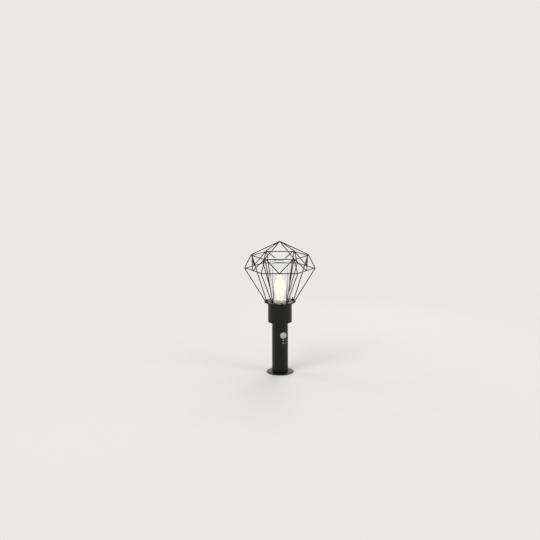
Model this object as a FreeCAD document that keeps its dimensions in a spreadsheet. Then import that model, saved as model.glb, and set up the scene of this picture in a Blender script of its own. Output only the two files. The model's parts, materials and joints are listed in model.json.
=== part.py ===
import FreeCAD, Part
import math
import os
import re

import Sketcher
from FreeCAD import Placement, Rotation, Vector

# A mains path light: a round foot, a post with a motion sensor, a collar with the lampholder,
# a glass cylinder over a candle bulb, and a diamond-shaped cage of bent and welded wire.
# Millimetres, +Z up, the origin in the middle of the foot's underside, the front towards -Y.

# Driving sizes
SIZES = {
    # Foot
    "base_dia": 86,
    "base_thick": 3,
    "fixing_hole_dia": 5.5,
    "fixing_circle_dia": 69,
    "inlet_dia": 16,
    "inlet_lip_dia": 22,
    "inlet_lip_depth": 1.2,
    "cable_bore_dia": 9,
    "grommet_rim_thick": 1.5,
    # Post and its spigot
    "post_dia": 51,
    "post_wall": 1.5,
    "post_length": 163,
    "post_cap_thick": 5,
    "post_cap_bore_dia": 19,
    "spigot_wall": 2,
    "spigot_height": 18,
    "fit_gap": 0.1,
    "thread_gap": 0.05,
    "run_gap": 0.4,
    "carrier_gap": 0.2,
    # Fasteners
    "screw_dia": 4,
    "screw_head_dia": 7,
    "screw_head_thick": 2.5,
    "nut_across_flats": 7,
    "nut_thick": 3.2,
    "grub_proud": 0.6,
    "earth_screw_reach": 14.5,
    "collar_screw_circle_dia": 34,
    "small_screw_dia": 3,
    "small_head_dia": 5.6,
    "small_head_thick": 1.7,
    "small_screw_length": 6,
    # Terminal block
    "bridge_length": 45,
    "bridge_width": 12,
    "bridge_thick": 1.5,
    "block_length": 28,
    "block_width": 16,
    "block_height": 14,
    "terminal_pitch": 9,
    "terminal_row_gap": 9,
    "terminal_dia": 4,
    "terminal_depth": 6,
    "terminal_screw_length": 4,
    # Motion sensor
    "sensor_azimuth": 25.4,
    "sensor_height": 125.5,
    "lens_dia": 20,
    "lens_rise": 8.5,
    "lens_wall": 1,
    "lens_flange_dia": 24,
    "lens_flange_thick": 1.2,
    "lens_hole_gap": 0.3,
    "board_width": 34,
    "board_height": 50,
    "board_thick": 1.6,
    "board_reach": 13,
    "board_drop": 35.5,
    "carrier_disc_thick": 5,
    "rail_width": 4,
    "rail_depth": 4,
    "rail_spacing": 26,
    "wire_notch_width": 16,
    "wire_notch_reach": 8,
    "element_dia": 9.2,
    "element_height": 4.5,
    "upper_trimmer_drop": 15.6,
    "trimmer_pitch": 9.6,
    "pot_side": 7,
    "pot_height": 5,
    "trimmer_dia": 5.4,
    "trimmer_proud": 0.6,
    "trimmer_slot_width": 1,
    "trimmer_slot_depth": 1,
    "relay_width": 15,
    "relay_length": 19,
    "relay_depth": 14,
    "capacitor_dia": 10,
    "capacitor_length": 15,
    "capacitor_drop": 24,
    # Collar and lampholder
    "collar_dia": 76,
    "collar_wall": 1.5,
    "collar_height": 64,
    "nipple_dia": 10,
    "nipple_bore_dia": 7,
    "nipple_nut_across_flats": 14,
    "nipple_nut_thick": 4,
    "nipple_grip": 8,
    "holder_dia": 40,
    "holder_neck_dia": 24,
    "holder_cone_height": 18,
    "holder_lift": 22,
    "holder_height": 51.5,
    "holder_floor_height": 19,
    "holder_bore_dia": 29.2,
    "holder_rim_bend": 1.5,
    "shell_dia": 28.6,
    "shell_wall": 0.8,
    "shell_drop": 3.5,
    "contact_foot_dia": 8,
    "contact_foot_thick": 1,
    "contact_dia": 5,
    "contact_height": 4.6,
    "contact_gap": 0.3,
    # Gallery, seal and glass
    "gallery_dia": 100,
    "sheet_thick": 1.5,
    "gallery_bore_dia": 50,
    "seat_gap": 0.3,
    "seal_thick": 1,
    "seal_width": 8,
    "flange_thick": 2.4,
    "glass_dia": 60,
    "glass_wall": 2.5,
    "glass_height": 139,
    "glass_bend": 6,
    # Cage
    "ring_thick": 1.5,
    "stud_edge": 6.5,
    "stud_turn": 24,
    "stud_rise": 8.5,
    "wire_dia": 3,
    "weld_gap": 0.1,
    "apex_height": 424.7,
    "upper_reach": 90.3,
    "upper_height": 381.8,
    "girdle_reach": 111.5,
    "girdle_height": 338.8,
    "foot_edge": 3.5,
    "stay_set": 3.6,
    "rib_bend": 6,
    "ring_bend": 5,
    "vee_bend": 4,
    "vee_inset": 6,
    "vee_trim": 2.7,
    # Bulb
    "cap_dia": 26,
    "cap_root_dia": 24.6,
    "cap_height": 20,
    "thread_pitch": 3.6,
    "cap_wall": 1,
    "insulator_height": 3,
    "tip_dia": 9,
    "tip_height": 1.8,
    "envelope_neck_dia": 21,
    "envelope_neck_height": 12,
    "belly_meeting_dia": 40.2,
    "belly_height": 44,
    "envelope_height": 79,
    "envelope_tip_dia": 8,
    "envelope_wall": 1,
    "belly_bend": 40,
    "neck_bend": 25,
    "tip_bend": 5,
    "stem_dia": 4,
    "stem_flare_height": 9,
    "crown_dia": 15,
    "crown_thick": 1,
    "filament_dia": 2,
    "filament_length": 38,
    "filament_reach": 5.5,
    "filament_lift": 22,
}

# Sizes worked out from the driving ones
WORKED_OUT = {
    "post_top": "base_thick + post_length",
    "post_bore_dia": "post_dia - 2 * post_wall",
    "spigot_dia": "post_bore_dia - 2 * fit_gap",
    "spigot_top": "base_thick + spigot_height",
    "grub_height": "base_thick + spigot_height / 2",
    "block_foot": "spigot_top + bridge_thick",
    "tapped_dia": "screw_dia + 2 * thread_gap",
    "running_dia": "screw_dia + 2 * run_gap",
    "board_foot": "sensor_height - board_drop",
    "board_back": "board_reach - board_thick",
    "carrier_dia": "post_bore_dia - 2 * carrier_gap",
    "lens_top": "post_dia / 2 + lens_rise",
    "flange_front": "sqrt((post_bore_dia / 2) ^ 2 - (lens_flange_dia / 2) ^ 2) - run_gap",
    "flange_back": "flange_front - lens_flange_thick",
    "pot_front": "board_reach + pot_height",
    "trimmer_foot": "pot_front + fit_gap",
    "carrier_screw_height": "board_foot + board_height + carrier_disc_thick / 2",
    "collar_bore_dia": "collar_dia - 2 * collar_wall",
    "collar_top": "post_top + collar_height",
    "collar_floor": "post_top + collar_wall",
    "holder_foot": "post_top + holder_lift",
    "holder_floor": "holder_foot + holder_floor_height",
    "holder_top": "holder_foot + holder_height",
    "plate_top": "collar_top + sheet_thick",
    "seat_top": "plate_top - flange_thick - seal_thick - fit_gap",
    "seat_dia": "collar_bore_dia - 2 * seat_gap",
    "recess_dia": "seat_dia - 2 * sheet_thick",
    "flange_dia": "recess_dia - 2 * run_gap",
    "glass_foot": "seat_top + seal_thick",
    "glass_top": "glass_foot + glass_height",
    "ring_top": "plate_top + ring_thick",
    "ring_bore_dia": "glass_dia + 2 * run_gap",
    "stud_reach": "gallery_dia / 2 - stud_edge",
    "foot_reach": "gallery_dia / 2 - foot_edge",
    "stay_foot": "foot_reach - stay_set - weld_gap",
    "weld_reach": "wire_dia + weld_gap",
    "trim_reach": "5 * wire_dia",
    "mitre_reach": "4 * wire_dia",
    # Directions of a rib's three runs
    "roof_run": "sqrt(upper_reach ^ 2 + (apex_height - upper_height) ^ 2)",
    "side_run": "sqrt((girdle_reach - upper_reach) ^ 2 + (upper_height - girdle_height) ^ 2)",
    "leg_run": "sqrt((girdle_reach - foot_reach) ^ 2 + (girdle_height - ring_top) ^ 2)",
    # The upper bend: how far it leans in and down, and where the ring's corner lies inside it
    "upper_in": "upper_reach / roof_run - (girdle_reach - upper_reach) / side_run",
    "upper_down": "(upper_height - girdle_height) / side_run - (apex_height - upper_height) / roof_run",
    "upper_lean": "sqrt(upper_in ^ 2 + upper_down ^ 2)",
    "upper_set": "rib_bend * (1 / sqrt(1 - upper_lean ^ 2 / 4) - 1) + weld_reach",
    "upper_corner_reach": "upper_reach - upper_set * upper_in / upper_lean",
    "upper_corner_height": "upper_height - upper_set * upper_down / upper_lean",
    # The girdle bend, in the same way
    "girdle_in": "(girdle_reach - upper_reach) / side_run + (girdle_reach - foot_reach) / leg_run",
    "girdle_down": "(girdle_height - ring_top) / leg_run - (upper_height - girdle_height) / side_run",
    "girdle_lean": "sqrt(girdle_in ^ 2 + girdle_down ^ 2)",
    "girdle_set": "rib_bend * (1 / sqrt(1 - girdle_lean ^ 2 / 4) - 1) + weld_reach",
    "girdle_corner_reach": "girdle_reach - girdle_set * girdle_in / girdle_lean",
    "girdle_corner_height": "girdle_height - girdle_set * girdle_down / girdle_lean",
    # A bent corner lies inside the point where its two runs would meet
    "ring_corner_set": "ring_bend * (1 / cos(30) - 1)",
    "upper_point_reach": "upper_corner_reach + ring_corner_set",
    "girdle_point_reach": "girdle_corner_reach + ring_corner_set",
    "upper_flat": "upper_point_reach * cos(30)",
    "girdle_flat": "girdle_point_reach * cos(30)",
    # A V wire leans from outside the girdle's edge to the upper ring's edge
    "vee_rise": "upper_corner_height - girdle_corner_height",
    "vee_lean": "atan((girdle_flat - upper_flat + weld_reach) / vee_rise)",
    "vee_flat": "girdle_flat + weld_reach / cos(vee_lean)",
    "vee_length": "vee_rise / cos(vee_lean) - vee_trim",
    "vee_half_width": "upper_point_reach / 2 - vee_inset",
    # Bulb
    "tip_foot": "holder_floor + contact_height + contact_gap",
    "insulator_foot": "tip_foot + tip_height",
    "cap_foot": "insulator_foot + insulator_height",
    "cap_top": "cap_foot + cap_height",
    "thread_step": "thread_pitch / 4",
    "filament_foot": "cap_top + filament_lift",
    "filament_top": "filament_foot + filament_length",
}

WIRE_COUNT = 6
FIXING_COUNT = 3
COLLAR_SCREW_COUNT = 3
TERMINAL_POLES = 3
FILAMENT_COUNT = 4
THREAD_RIDGES = 5
HEX_SIDES = 6

doc = FreeCAD.newDocument("PathLight")
sheet = doc.addObject("Spreadsheet::Sheet", "Sizes")
nodes = {}


def fill_sheet():
    """Write every size into the sheet: its name, its number or formula, and its alias."""
    row = 0
    for name, number in SIZES.items():
        row += 1
        sheet.set(f"A{row}", name)
        sheet.set(f"B{row}", str(number))
        sheet.setAlias(f"B{row}", name)
    for name, text in WORKED_OUT.items():
        row += 1
        sheet.set(f"A{row}", name)
        sheet.set(f"B{row}", "=" + text)
        sheet.setAlias(f"B{row}", name)
    doc.recompute()


def formula(text):
    """Put the sheet's name before each size in a formula."""

    def prefixed(match):
        word = match.group()
        known = word in SIZES or word in WORKED_OUT
        return "Sizes." + word if known else word

    return re.sub(r"[a-z][a-z_]*", prefixed, text)


def size(text):
    """Work out a formula's value now."""
    return float(sheet.evalExpression(formula(text)))


def bind(thing, prop, text):
    """Tie a property to a formula of the sheet's sizes."""
    thing.setExpression(prop, formula(text))


def new_body(label):
    """Start a sub-part's body."""
    body = doc.addObject("PartDesign::Body", label)
    body.Label = label
    return body


def sketch_on(body, name, role, lift="0"):
    """Attach a new sketch to one of the body's own planes, moved along that plane's normal."""
    sketch = body.newObject("Sketcher::SketchObject", name)
    plane = next(feature for feature in body.Origin.OriginFeatures if feature.Role == role)
    sketch.AttachmentSupport = [(plane, "")]
    sketch.MapMode = "FlatFace"
    bind(sketch, "AttachmentOffset.Base.z", lift)
    return sketch


def hold_point(sketch, shape, spot, across, up):
    """Hold a sketch point at two formulas, measured from the sketch's origin."""
    for kind, axis, text in (("DistanceX", -2, across), ("DistanceY", -1, up)):
        if text == "0":
            sketch.addConstraint(Sketcher.Constraint("PointOnObject", shape, spot, axis))
        else:
            number = sketch.addConstraint(
                Sketcher.Constraint(kind, -1, 1, shape, spot, size(text))
            )
            bind(sketch, f"Constraints[{number}]", text)


def bend_points(before, corner, after, radius):
    """Give where a bend starts, its middle and its end."""
    back = (before - corner).normalize()
    ahead = (after - corner).normalize()
    half = back.getAngle(ahead) / 2
    run_in = radius / math.tan(half)
    depth = radius / math.sin(half) - radius
    middle = corner + (back + ahead).normalize() * depth
    return corner + back * run_in, middle, corner + ahead * run_in


def draw_bend(sketch, corner, points, run_in, run_out):
    """Draw one rounded corner between two runs and tie it to the point where they would meet."""
    across, up, radius = corner
    arc = sketch.addGeometry(Part.Arc(*points), False)
    starts_first = sketch.getPoint(arc, 1).distanceToPoint(points[0]) < 1e-6
    first, last = (1, 2) if starts_first else (2, 1)
    meeting = sketch.addGeometry(Part.Point(Vector(size(across), size(up), 0)), True)
    sketch.addConstraint(Sketcher.Constraint("Tangent", run_in, 2, arc, first))
    sketch.addConstraint(Sketcher.Constraint("Tangent", arc, last, run_out, 1))
    number = sketch.addConstraint(Sketcher.Constraint("Radius", arc, size(radius)))
    bind(sketch, f"Constraints[{number}]", radius)
    hold_point(sketch, meeting, 1, across, up)
    sketch.addConstraint(Sketcher.Constraint("PointOnObject", meeting, 1, run_in))
    sketch.addConstraint(Sketcher.Constraint("PointOnObject", meeting, 1, run_out))


def draw_runs(sketch, corners, closed=True):
    """Draw straight runs through corners of (across, up) or (across, up, bend radius)."""
    count = len(corners)
    spots = [Vector(size(corner[0]), size(corner[1]), 0) for corner in corners]
    bends = {}
    for k, corner in enumerate(corners):
        if len(corner) == 3:
            bends[k] = bend_points(spots[k - 1], spots[k], spots[(k + 1) % count], size(corner[2]))
    runs = []
    for k in range(count if closed else count - 1):
        following = (k + 1) % count
        start = bends[k][2] if k in bends else spots[k]
        end = bends[following][0] if following in bends else spots[following]
        runs.append(sketch.addGeometry(Part.LineSegment(start, end), False))
    for k, corner in enumerate(corners):
        if k in bends:
            draw_bend(sketch, corner, bends[k], runs[k - 1], runs[k])
        elif closed or 0 < k < count - 1:
            sketch.addConstraint(Sketcher.Constraint("Coincident", runs[k - 1], 2, runs[k], 1))
            hold_point(sketch, runs[k], 1, corner[0], corner[1])
        elif k == 0:
            hold_point(sketch, runs[0], 1, corner[0], corner[1])
        else:
            hold_point(sketch, runs[-1], 2, corner[0], corner[1])


def draw_circle(sketch, across, up, dia):
    """Draw a circle whose middle and diameter follow formulas."""
    middle = Vector(size(across), size(up), 0)
    circle = sketch.addGeometry(Part.Circle(middle, Vector(0, 0, 1), size(dia) / 2), False)
    if across == "0" and up == "0":
        sketch.addConstraint(Sketcher.Constraint("Coincident", circle, 3, -1, 1))
    else:
        hold_point(sketch, circle, 3, across, up)
    number = sketch.addConstraint(Sketcher.Constraint("Diameter", circle, size(dia)))
    bind(sketch, f"Constraints[{number}]", dia)


def rectangle(left, right, bottom, top):
    """Give a rectangle's corners."""
    return [(left, bottom), (right, bottom), (right, top), (left, top)]


def hexagon(across_flats):
    """Give the corners of a hexagon about the origin."""
    corners = []
    for k in range(HEX_SIDES):
        radius = f"{across_flats} / sqrt(3)"
        up = "0" if k in (0, 3) else f"{radius} * sin(60 * {k})"
        corners.append((f"{radius} * cos(60 * {k})", up))
    return corners


def pad(body, sketch, length):
    """Raise a sketch along its normal."""
    feature = body.newObject("PartDesign::Pad", sketch.Name + "_pad")
    feature.Profile = sketch
    bind(feature, "Length", length)
    doc.recompute()
    return feature


def pocket(body, sketch, through="both", depth=None):
    """Cut a sketch: right through on both sides, or on its normal's side, or to a depth behind it."""
    before = body.Shape.Volume
    feature = body.newObject("PartDesign::Pocket", sketch.Name + "_cut")
    feature.Profile = sketch
    if depth is None:
        feature.Type = "ThroughAll"
        feature.Midplane = through == "both"
        feature.Reversed = through == "ahead"
    else:
        bind(feature, "Length", depth)
        feature.Reversed = through == "ahead"
    doc.recompute()
    if body.Shape.Volume >= before:
        raise RuntimeError(f"{feature.Name} cuts nothing")
    return feature


def polar(body, feature, sketch, count):
    """Repeat a cut about the sketch's normal."""
    pattern = body.newObject("PartDesign::PolarPattern", feature.Name + "_round")
    pattern.Originals = [feature]
    pattern.Axis = (sketch, ["N_Axis"])
    pattern.Angle = 360
    pattern.Occurrences = count
    body.Tip = pattern
    doc.recompute()


def turned(label, corners, role="XZ_Plane", lift="0"):
    """Make a turned piece from half its section."""
    body = new_body(label)
    sketch = sketch_on(body, label + "_section", role, lift)
    draw_runs(sketch, corners)
    spin = body.newObject("PartDesign::Revolution", label + "_turned")
    spin.Profile = sketch
    spin.ReferenceAxis = (sketch, ["V_Axis"])
    spin.Angle = 360
    doc.recompute()
    return body


def padded(label, role, lift, length, corners=None, circles=()):
    """Make a piece of constant section, from an outline or from circles."""
    body = new_body(label)
    sketch = sketch_on(body, label + "_section", role, lift)
    if corners:
        draw_runs(sketch, corners)
    for across, up, dia in circles:
        draw_circle(sketch, across, up, dia)
    pad(body, sketch, length)
    return body


def drill(body, name, role, circles, through="both", lift="0", depth=None):
    """Cut round holes."""
    sketch = sketch_on(body, name, role, lift)
    for across, up, dia in circles:
        draw_circle(sketch, across, up, dia)
    return pocket(body, sketch, through, depth), sketch


def turn(thing, angle):
    """Turn a piece about the post's axis."""
    thing.Placement = Placement(Vector(), Rotation(Vector(0, 0, 1), size(angle)))
    bind(thing, "Placement.Rotation.Angle", angle)


def move(thing, across, back, up="0"):
    """Move a piece."""
    bind(thing, "Placement.Base.x", across)
    bind(thing, "Placement.Base.y", back)
    bind(thing, "Placement.Base.z", up)


def group(label, pieces):
    """Join separate solids under one name."""
    compound = doc.addObject("Part::Compound", label)
    compound.Links = pieces
    compound.Label = label
    return compound


def keep(thing):
    """List a finished sub-part under its name."""
    nodes[thing.Label] = thing
    return thing


def screw(label, foot, length):
    """Make an upright screw with its head at the top."""
    head = "screw_head_dia / 2"
    shank = "screw_dia / 2"
    seat = f"{foot} + {length}"
    top = f"{seat} + screw_head_thick"
    return turned(
        label, [("0", foot), (shank, foot), (shank, seat), (head, seat), (head, top), ("0", top)]
    )


def nut(label, across_flats, bore, foot, thick):
    """Make a hexagon nut."""
    return padded(label, "XY_Plane", foot, thick, hexagon(across_flats), [("0", "0", bore)])


def wire_along(body, path):
    """Sweep the cage wire's round section along a path."""
    section = body.newObject("Sketcher::SketchObject", body.Name + "_round")
    section.AttachmentSupport = [(path, "Edge1")]
    section.MapMode = "NormalToEdge"
    draw_circle(section, "0", "0", "wire_dia")
    doc.recompute()
    pipe = body.newObject("PartDesign::AdditivePipe", body.Name + "_swept")
    pipe.Profile = section
    pipe.Spine = (path, [])
    doc.recompute()


# Foot


def base_plate():
    """The round foot: fixing holes, a tapped earth hole and a stepped hole for the cable grommet."""
    body = turned(
        "base_plate",
        [
            ("inlet_lip_dia / 2", "0"),
            ("base_dia / 2", "0"),
            ("base_dia / 2", "base_thick"),
            ("inlet_dia / 2", "base_thick"),
            ("inlet_dia / 2", "inlet_lip_depth"),
            ("inlet_lip_dia / 2", "inlet_lip_depth"),
        ],
    )
    drill(body, "earth_hole", "XY_Plane", [("0", "earth_screw_reach", "tapped_dia")])
    hole, sketch = drill(
        body, "fixing_hole", "XY_Plane", [("0", "fixing_circle_dia / 2", "fixing_hole_dia")]
    )
    polar(body, hole, sketch, FIXING_COUNT)
    return keep(body)


def base_spigot():
    """A short tube welded to the foot, which the post slips over."""
    body = turned(
        "base_spigot",
        [
            ("spigot_dia / 2 - spigot_wall", "base_thick"),
            ("spigot_dia / 2", "base_thick"),
            ("spigot_dia / 2", "spigot_top"),
            ("spigot_dia / 2 - spigot_wall", "spigot_top"),
        ],
    )
    return keep(body)


def cable_grommet():
    """The rubber grommet, sunk into the underside so that the foot lies flat."""
    lip = "inlet_lip_dia / 2 - fit_gap"
    neck = "inlet_dia / 2 - thread_gap"
    body = turned(
        "cable_grommet",
        [
            ("cable_bore_dia / 2", "fit_gap"),
            (lip, "fit_gap"),
            (lip, "inlet_lip_depth"),
            (neck, "inlet_lip_depth"),
            (neck, "base_thick"),
            (lip, "base_thick"),
            (lip, "base_thick + grommet_rim_thick"),
            ("cable_bore_dia / 2", "base_thick + grommet_rim_thick"),
        ],
    )
    return keep(body)


def earth_screw():
    """The earth screw beside the cable, tapped into the foot."""
    body = screw("earth_screw", "fit_gap", "base_thick - fit_gap")
    move(body, "0", "earth_screw_reach")
    return keep(body)


def terminal_parts():
    """A bridge across the spigot, and on it the terminal block with its screws."""
    bridge = padded(
        "terminal_bridge",
        "XY_Plane",
        "spigot_top",
        "bridge_thick",
        rectangle("-bridge_length / 2", "bridge_length / 2", "-bridge_width / 2", "bridge_width / 2"),
    )
    keep(bridge)
    block = padded(
        "terminal_block",
        "XY_Plane",
        "block_foot",
        "block_height",
        rectangle("-block_length / 2", "block_length / 2", "-block_width / 2", "block_width / 2"),
    )
    places = []
    for pole in range(TERMINAL_POLES):
        across = f"terminal_pitch * ({pole} - 1)" if pole != 1 else "0"
        for side in (-1, 1):
            places.append((across, f"{side} * terminal_row_gap / 2"))
    holes = [(across, up, "terminal_dia") for across, up in places]
    block_top = "block_foot + block_height"
    drill(block, "terminal_holes", "XY_Plane", holes, "behind", block_top, "terminal_depth")
    keep(block)
    screws = []
    for number, (across, back) in enumerate(places):
        piece = padded(
            f"terminal_screw_{number + 1}",
            "XY_Plane",
            f"{block_top} - terminal_depth",
            "terminal_screw_length",
            circles=[("0", "0", "terminal_dia - 2 * fit_gap")],
        )
        move(piece, across, back)
        screws.append(piece)
    keep(group("terminal_screws", screws))


# Post


def post_tube():
    """The post: a lens hole, two trimmer holes, tapped holes for the grub and carrier screws."""
    body = turned(
        "post_tube",
        [
            ("post_bore_dia / 2", "base_thick"),
            ("post_dia / 2", "base_thick"),
            ("post_dia / 2", "post_top"),
            ("post_bore_dia / 2", "post_top"),
        ],
    )
    front = [("0", "sensor_height", "lens_dia + 2 * lens_hole_gap")]
    for height in trimmer_heights():
        front.append(("0", height, "trimmer_dia + 2 * run_gap"))
    drill(body, "front_holes", "XZ_Plane", front, "ahead")
    drill(body, "grub_holes", "YZ_Plane", [("0", "grub_height", "tapped_dia")])
    back = [("0", "carrier_screw_height", "small_screw_dia + 2 * fit_gap")]
    drill(body, "carrier_hole", "XZ_Plane", back, "behind")
    turn(body, "sensor_azimuth")
    return keep(body)


def grub_screws():
    """Two headless screws through the post's foot that press on the spigot."""
    screws = []
    for number, side in enumerate((90, -90)):
        piece = padded(
            f"grub_screw_{number + 1}",
            "XZ_Plane",
            "spigot_dia / 2 + thread_gap",
            "post_dia / 2 + grub_proud - spigot_dia / 2 - thread_gap",
            circles=[("0", "grub_height", "screw_dia")],
        )
        turn(piece, f"sensor_azimuth + {side}")
        screws.append(piece)
    return keep(group("grub_screws", screws))


def post_cap():
    """The plate welded into the post's top, tapped for the collar screws."""
    body = turned(
        "post_cap",
        [
            ("post_cap_bore_dia / 2", "post_top - post_cap_thick"),
            ("post_bore_dia / 2 - fit_gap", "post_top - post_cap_thick"),
            ("post_bore_dia / 2 - fit_gap", "post_top"),
            ("post_cap_bore_dia / 2", "post_top"),
        ],
    )
    hole, sketch = drill(
        body, "cap_hole", "XY_Plane", [("0", "collar_screw_circle_dia / 2", "tapped_dia")]
    )
    polar(body, hole, sketch, COLLAR_SCREW_COUNT)
    return keep(body)


# Motion sensor, made facing -Y and then turned to its place on the post


def sensor_carrier():
    """Two round plates that fit the post and two rails that hold the circuit board."""
    body = padded(
        "sensor_carrier",
        "XY_Plane",
        "board_foot - carrier_disc_thick",
        "carrier_disc_thick",
        circles=[("0", "0", "carrier_dia")],
    )
    for name, side in (("left_rail", -1), ("right_rail", 1)):
        inner = f"{side} * rail_spacing / 2"
        outer = f"{side} * (rail_spacing / 2 + rail_width)"
        rail = sketch_on(body, name, "XY_Plane", "board_foot")
        draw_runs(rail, rectangle(inner, outer, "-board_back", "rail_depth - board_back"))
        pad(body, rail, "board_height")
    upper = sketch_on(body, "upper_plate", "XY_Plane", "board_foot + board_height")
    draw_circle(upper, "0", "0", "carrier_dia")
    pad(body, upper, "carrier_disc_thick")
    notch = sketch_on(body, "wire_notch", "XY_Plane")
    half = "wire_notch_width / 2"
    back = "carrier_dia / 2 - small_screw_length"
    draw_runs(notch, rectangle(f"-{half}", half, "wire_notch_reach", back))
    pocket(body, notch)
    drill(
        body,
        "carrier_tapping",
        "XZ_Plane",
        [("0", "carrier_screw_height", "small_screw_dia + 2 * thread_gap")],
        "behind",
        "wire_notch_reach - carrier_dia / 2",
    )
    turn(body, "sensor_azimuth")
    return keep(body)


def carrier_screw():
    """The small screw through the post's back that holds the carrier."""
    seat = "post_dia / 2"
    body = new_body("carrier_screw")
    shank = sketch_on(body, "carrier_shank", "XZ_Plane", f"-{seat}")
    draw_circle(shank, "0", "carrier_screw_height", "small_screw_dia")
    pad(body, shank, "small_screw_length")
    head = sketch_on(body, "carrier_head", "XZ_Plane", f"-{seat} - small_head_thick")
    draw_circle(head, "0", "carrier_screw_height", "small_head_dia")
    pad(body, head, "small_head_thick")
    turn(body, "sensor_azimuth")
    return keep(body)


def sensor_board():
    """The circuit board, upright between the carrier's plates."""
    half = "board_width / 2"
    body = padded(
        "sensor_board",
        "XZ_Plane",
        "board_back",
        "board_thick",
        rectangle(f"-{half}", half, "board_foot", "board_foot + board_height"),
    )
    turn(body, "sensor_azimuth")
    return keep(body)


def on_board(label, lift, length, **section):
    """Make a piece that stands on the circuit board."""
    body = padded(label, "XZ_Plane", lift, length, **section)
    turn(body, "sensor_azimuth")
    return body


def board_parts():
    """The sensing element, relay, capacitor and trimmer housings."""
    keep(
        on_board(
            "pir_element", "board_reach", "element_height", circles=[("0", "sensor_height", "element_dia")]
        )
    )
    relay = rectangle(
        "-relay_width / 2",
        "relay_width / 2",
        "sensor_height - relay_length / 2",
        "sensor_height + relay_length / 2",
    )
    keep(on_board("relay", "board_back - relay_depth", "relay_depth", corners=relay))
    keep(
        on_board(
            "capacitor",
            "board_back - capacitor_length",
            "capacitor_length",
            circles=[("0", "sensor_height - capacitor_drop", "capacitor_dia")],
        )
    )
    pots = []
    for number, height in enumerate(trimmer_heights()):
        side = rectangle(
            "-pot_side / 2", "pot_side / 2", f"{height} - pot_side / 2", f"{height} + pot_side / 2"
        )
        pots.append(on_board(f"trimmer_pot_{number + 1}", "board_reach", "pot_height", corners=side))
    keep(group("trimmer_pots", pots))


def trimmer_heights():
    """Give the formulas for the two trimmers' heights."""
    upper = "sensor_height - upper_trimmer_drop"
    return [upper, f"{upper} - trimmer_pitch"]


def trimmers():
    """The two slotted spindles that a screwdriver turns: switch-on time and dusk level."""
    for label, height in zip(("time_trimmer", "lux_trimmer"), trimmer_heights()):
        top = "post_dia / 2 + trimmer_proud"
        body = on_board(
            label, "trimmer_foot", f"{top} - trimmer_foot", circles=[("0", height, "trimmer_dia")]
        )
        slot = sketch_on(body, label + "_slot", "XZ_Plane", top)
        low = f"{height} - trimmer_slot_width / 2"
        high = f"{height} + trimmer_slot_width / 2"
        draw_runs(slot, rectangle("-trimmer_dia", "trimmer_dia", low, high))
        pocket(body, slot, "behind", "trimmer_slot_depth")
        keep(body)


def pir_lens():
    """The milky dome over the sensing element, with a flange inside the post."""
    dome = "lens_dia / 2"
    inner = "lens_dia / 2 - lens_wall"
    body = turned(
        "pir_lens",
        [
            ("0", "lens_wall - lens_top"),
            ("0", "-lens_top"),
            (dome, "-lens_top", f"{dome} - thread_gap"),
            (dome, "-flange_front"),
            ("lens_flange_dia / 2", "-flange_front"),
            ("lens_flange_dia / 2", "-flange_back"),
            (inner, "-flange_back"),
            (inner, "lens_wall - lens_top", f"{inner} - thread_gap"),
        ],
        "XY_Plane",
        "sensor_height",
    )
    turn(body, "sensor_azimuth")
    return keep(body)


def lens_seal():
    """The rubber ring between the lens flange and the post's inner wall, saddle-shaped on its front."""
    body = padded(
        "lens_seal",
        "XZ_Plane",
        "flange_front + thread_gap",
        "post_bore_dia / 2 - flange_front",
        circles=[
            ("0", "sensor_height", "lens_flange_dia - 2 * thread_gap"),
            ("0", "sensor_height", "lens_dia + 2 * lens_hole_gap"),
        ],
    )
    outside = sketch_on(body, "post_wall_side", "XY_Plane")
    draw_circle(outside, "0", "0", "post_bore_dia - 2 * thread_gap")
    draw_circle(outside, "0", "0", "post_dia + lens_dia")
    pocket(body, outside)
    turn(body, "sensor_azimuth")
    return keep(body)


# Collar and lampholder


def collar_cup():
    """The cup on the post, closed below, with holes for its screws and the nipple."""
    body = turned(
        "collar_cup",
        [
            ("nipple_dia / 2 + fit_gap", "post_top"),
            ("collar_dia / 2", "post_top"),
            ("collar_dia / 2", "collar_top"),
            ("collar_bore_dia / 2", "collar_top"),
            ("collar_bore_dia / 2", "collar_floor"),
            ("nipple_dia / 2 + fit_gap", "collar_floor"),
        ],
    )
    hole, sketch = drill(
        body, "collar_hole", "XY_Plane", [("0", "collar_screw_circle_dia / 2", "running_dia")]
    )
    polar(body, hole, sketch, COLLAR_SCREW_COUNT)
    return keep(body)


def collar_screws():
    """Three screws that hold the collar down on the post's cap."""
    screws = []
    for number in range(COLLAR_SCREW_COUNT):
        piece = screw(
            f"collar_screw_{number + 1}", "post_top - post_cap_thick", "post_cap_thick + collar_wall"
        )
        angle = f"90 + 360 / {COLLAR_SCREW_COUNT} * {number}"
        reach = "collar_screw_circle_dia / 2"
        move(piece, f"{reach} * cos({angle})", f"{reach} * sin({angle})")
        screws.append(piece)
    return keep(group("collar_screws", screws))


def nipple_parts():
    """The hollow threaded tube that carries the lampholder, and its two nuts."""
    foot = "post_top - nipple_nut_thick - fit_gap"
    keep(
        turned(
            "nipple",
            [
                ("nipple_bore_dia / 2", foot),
                ("nipple_dia / 2", foot),
                ("nipple_dia / 2", "holder_foot + nipple_grip"),
                ("nipple_bore_dia / 2", "holder_foot + nipple_grip"),
            ],
        )
    )
    bore = "(nipple_dia + 2 * thread_gap)"
    flats = "nipple_nut_across_flats"
    lower = nut("lower_nipple_nut", flats, bore, "post_top - nipple_nut_thick", "nipple_nut_thick")
    upper = nut("upper_nipple_nut", flats, bore, "collar_floor", "nipple_nut_thick")
    keep(group("nipple_nuts", [lower, upper]))


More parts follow.
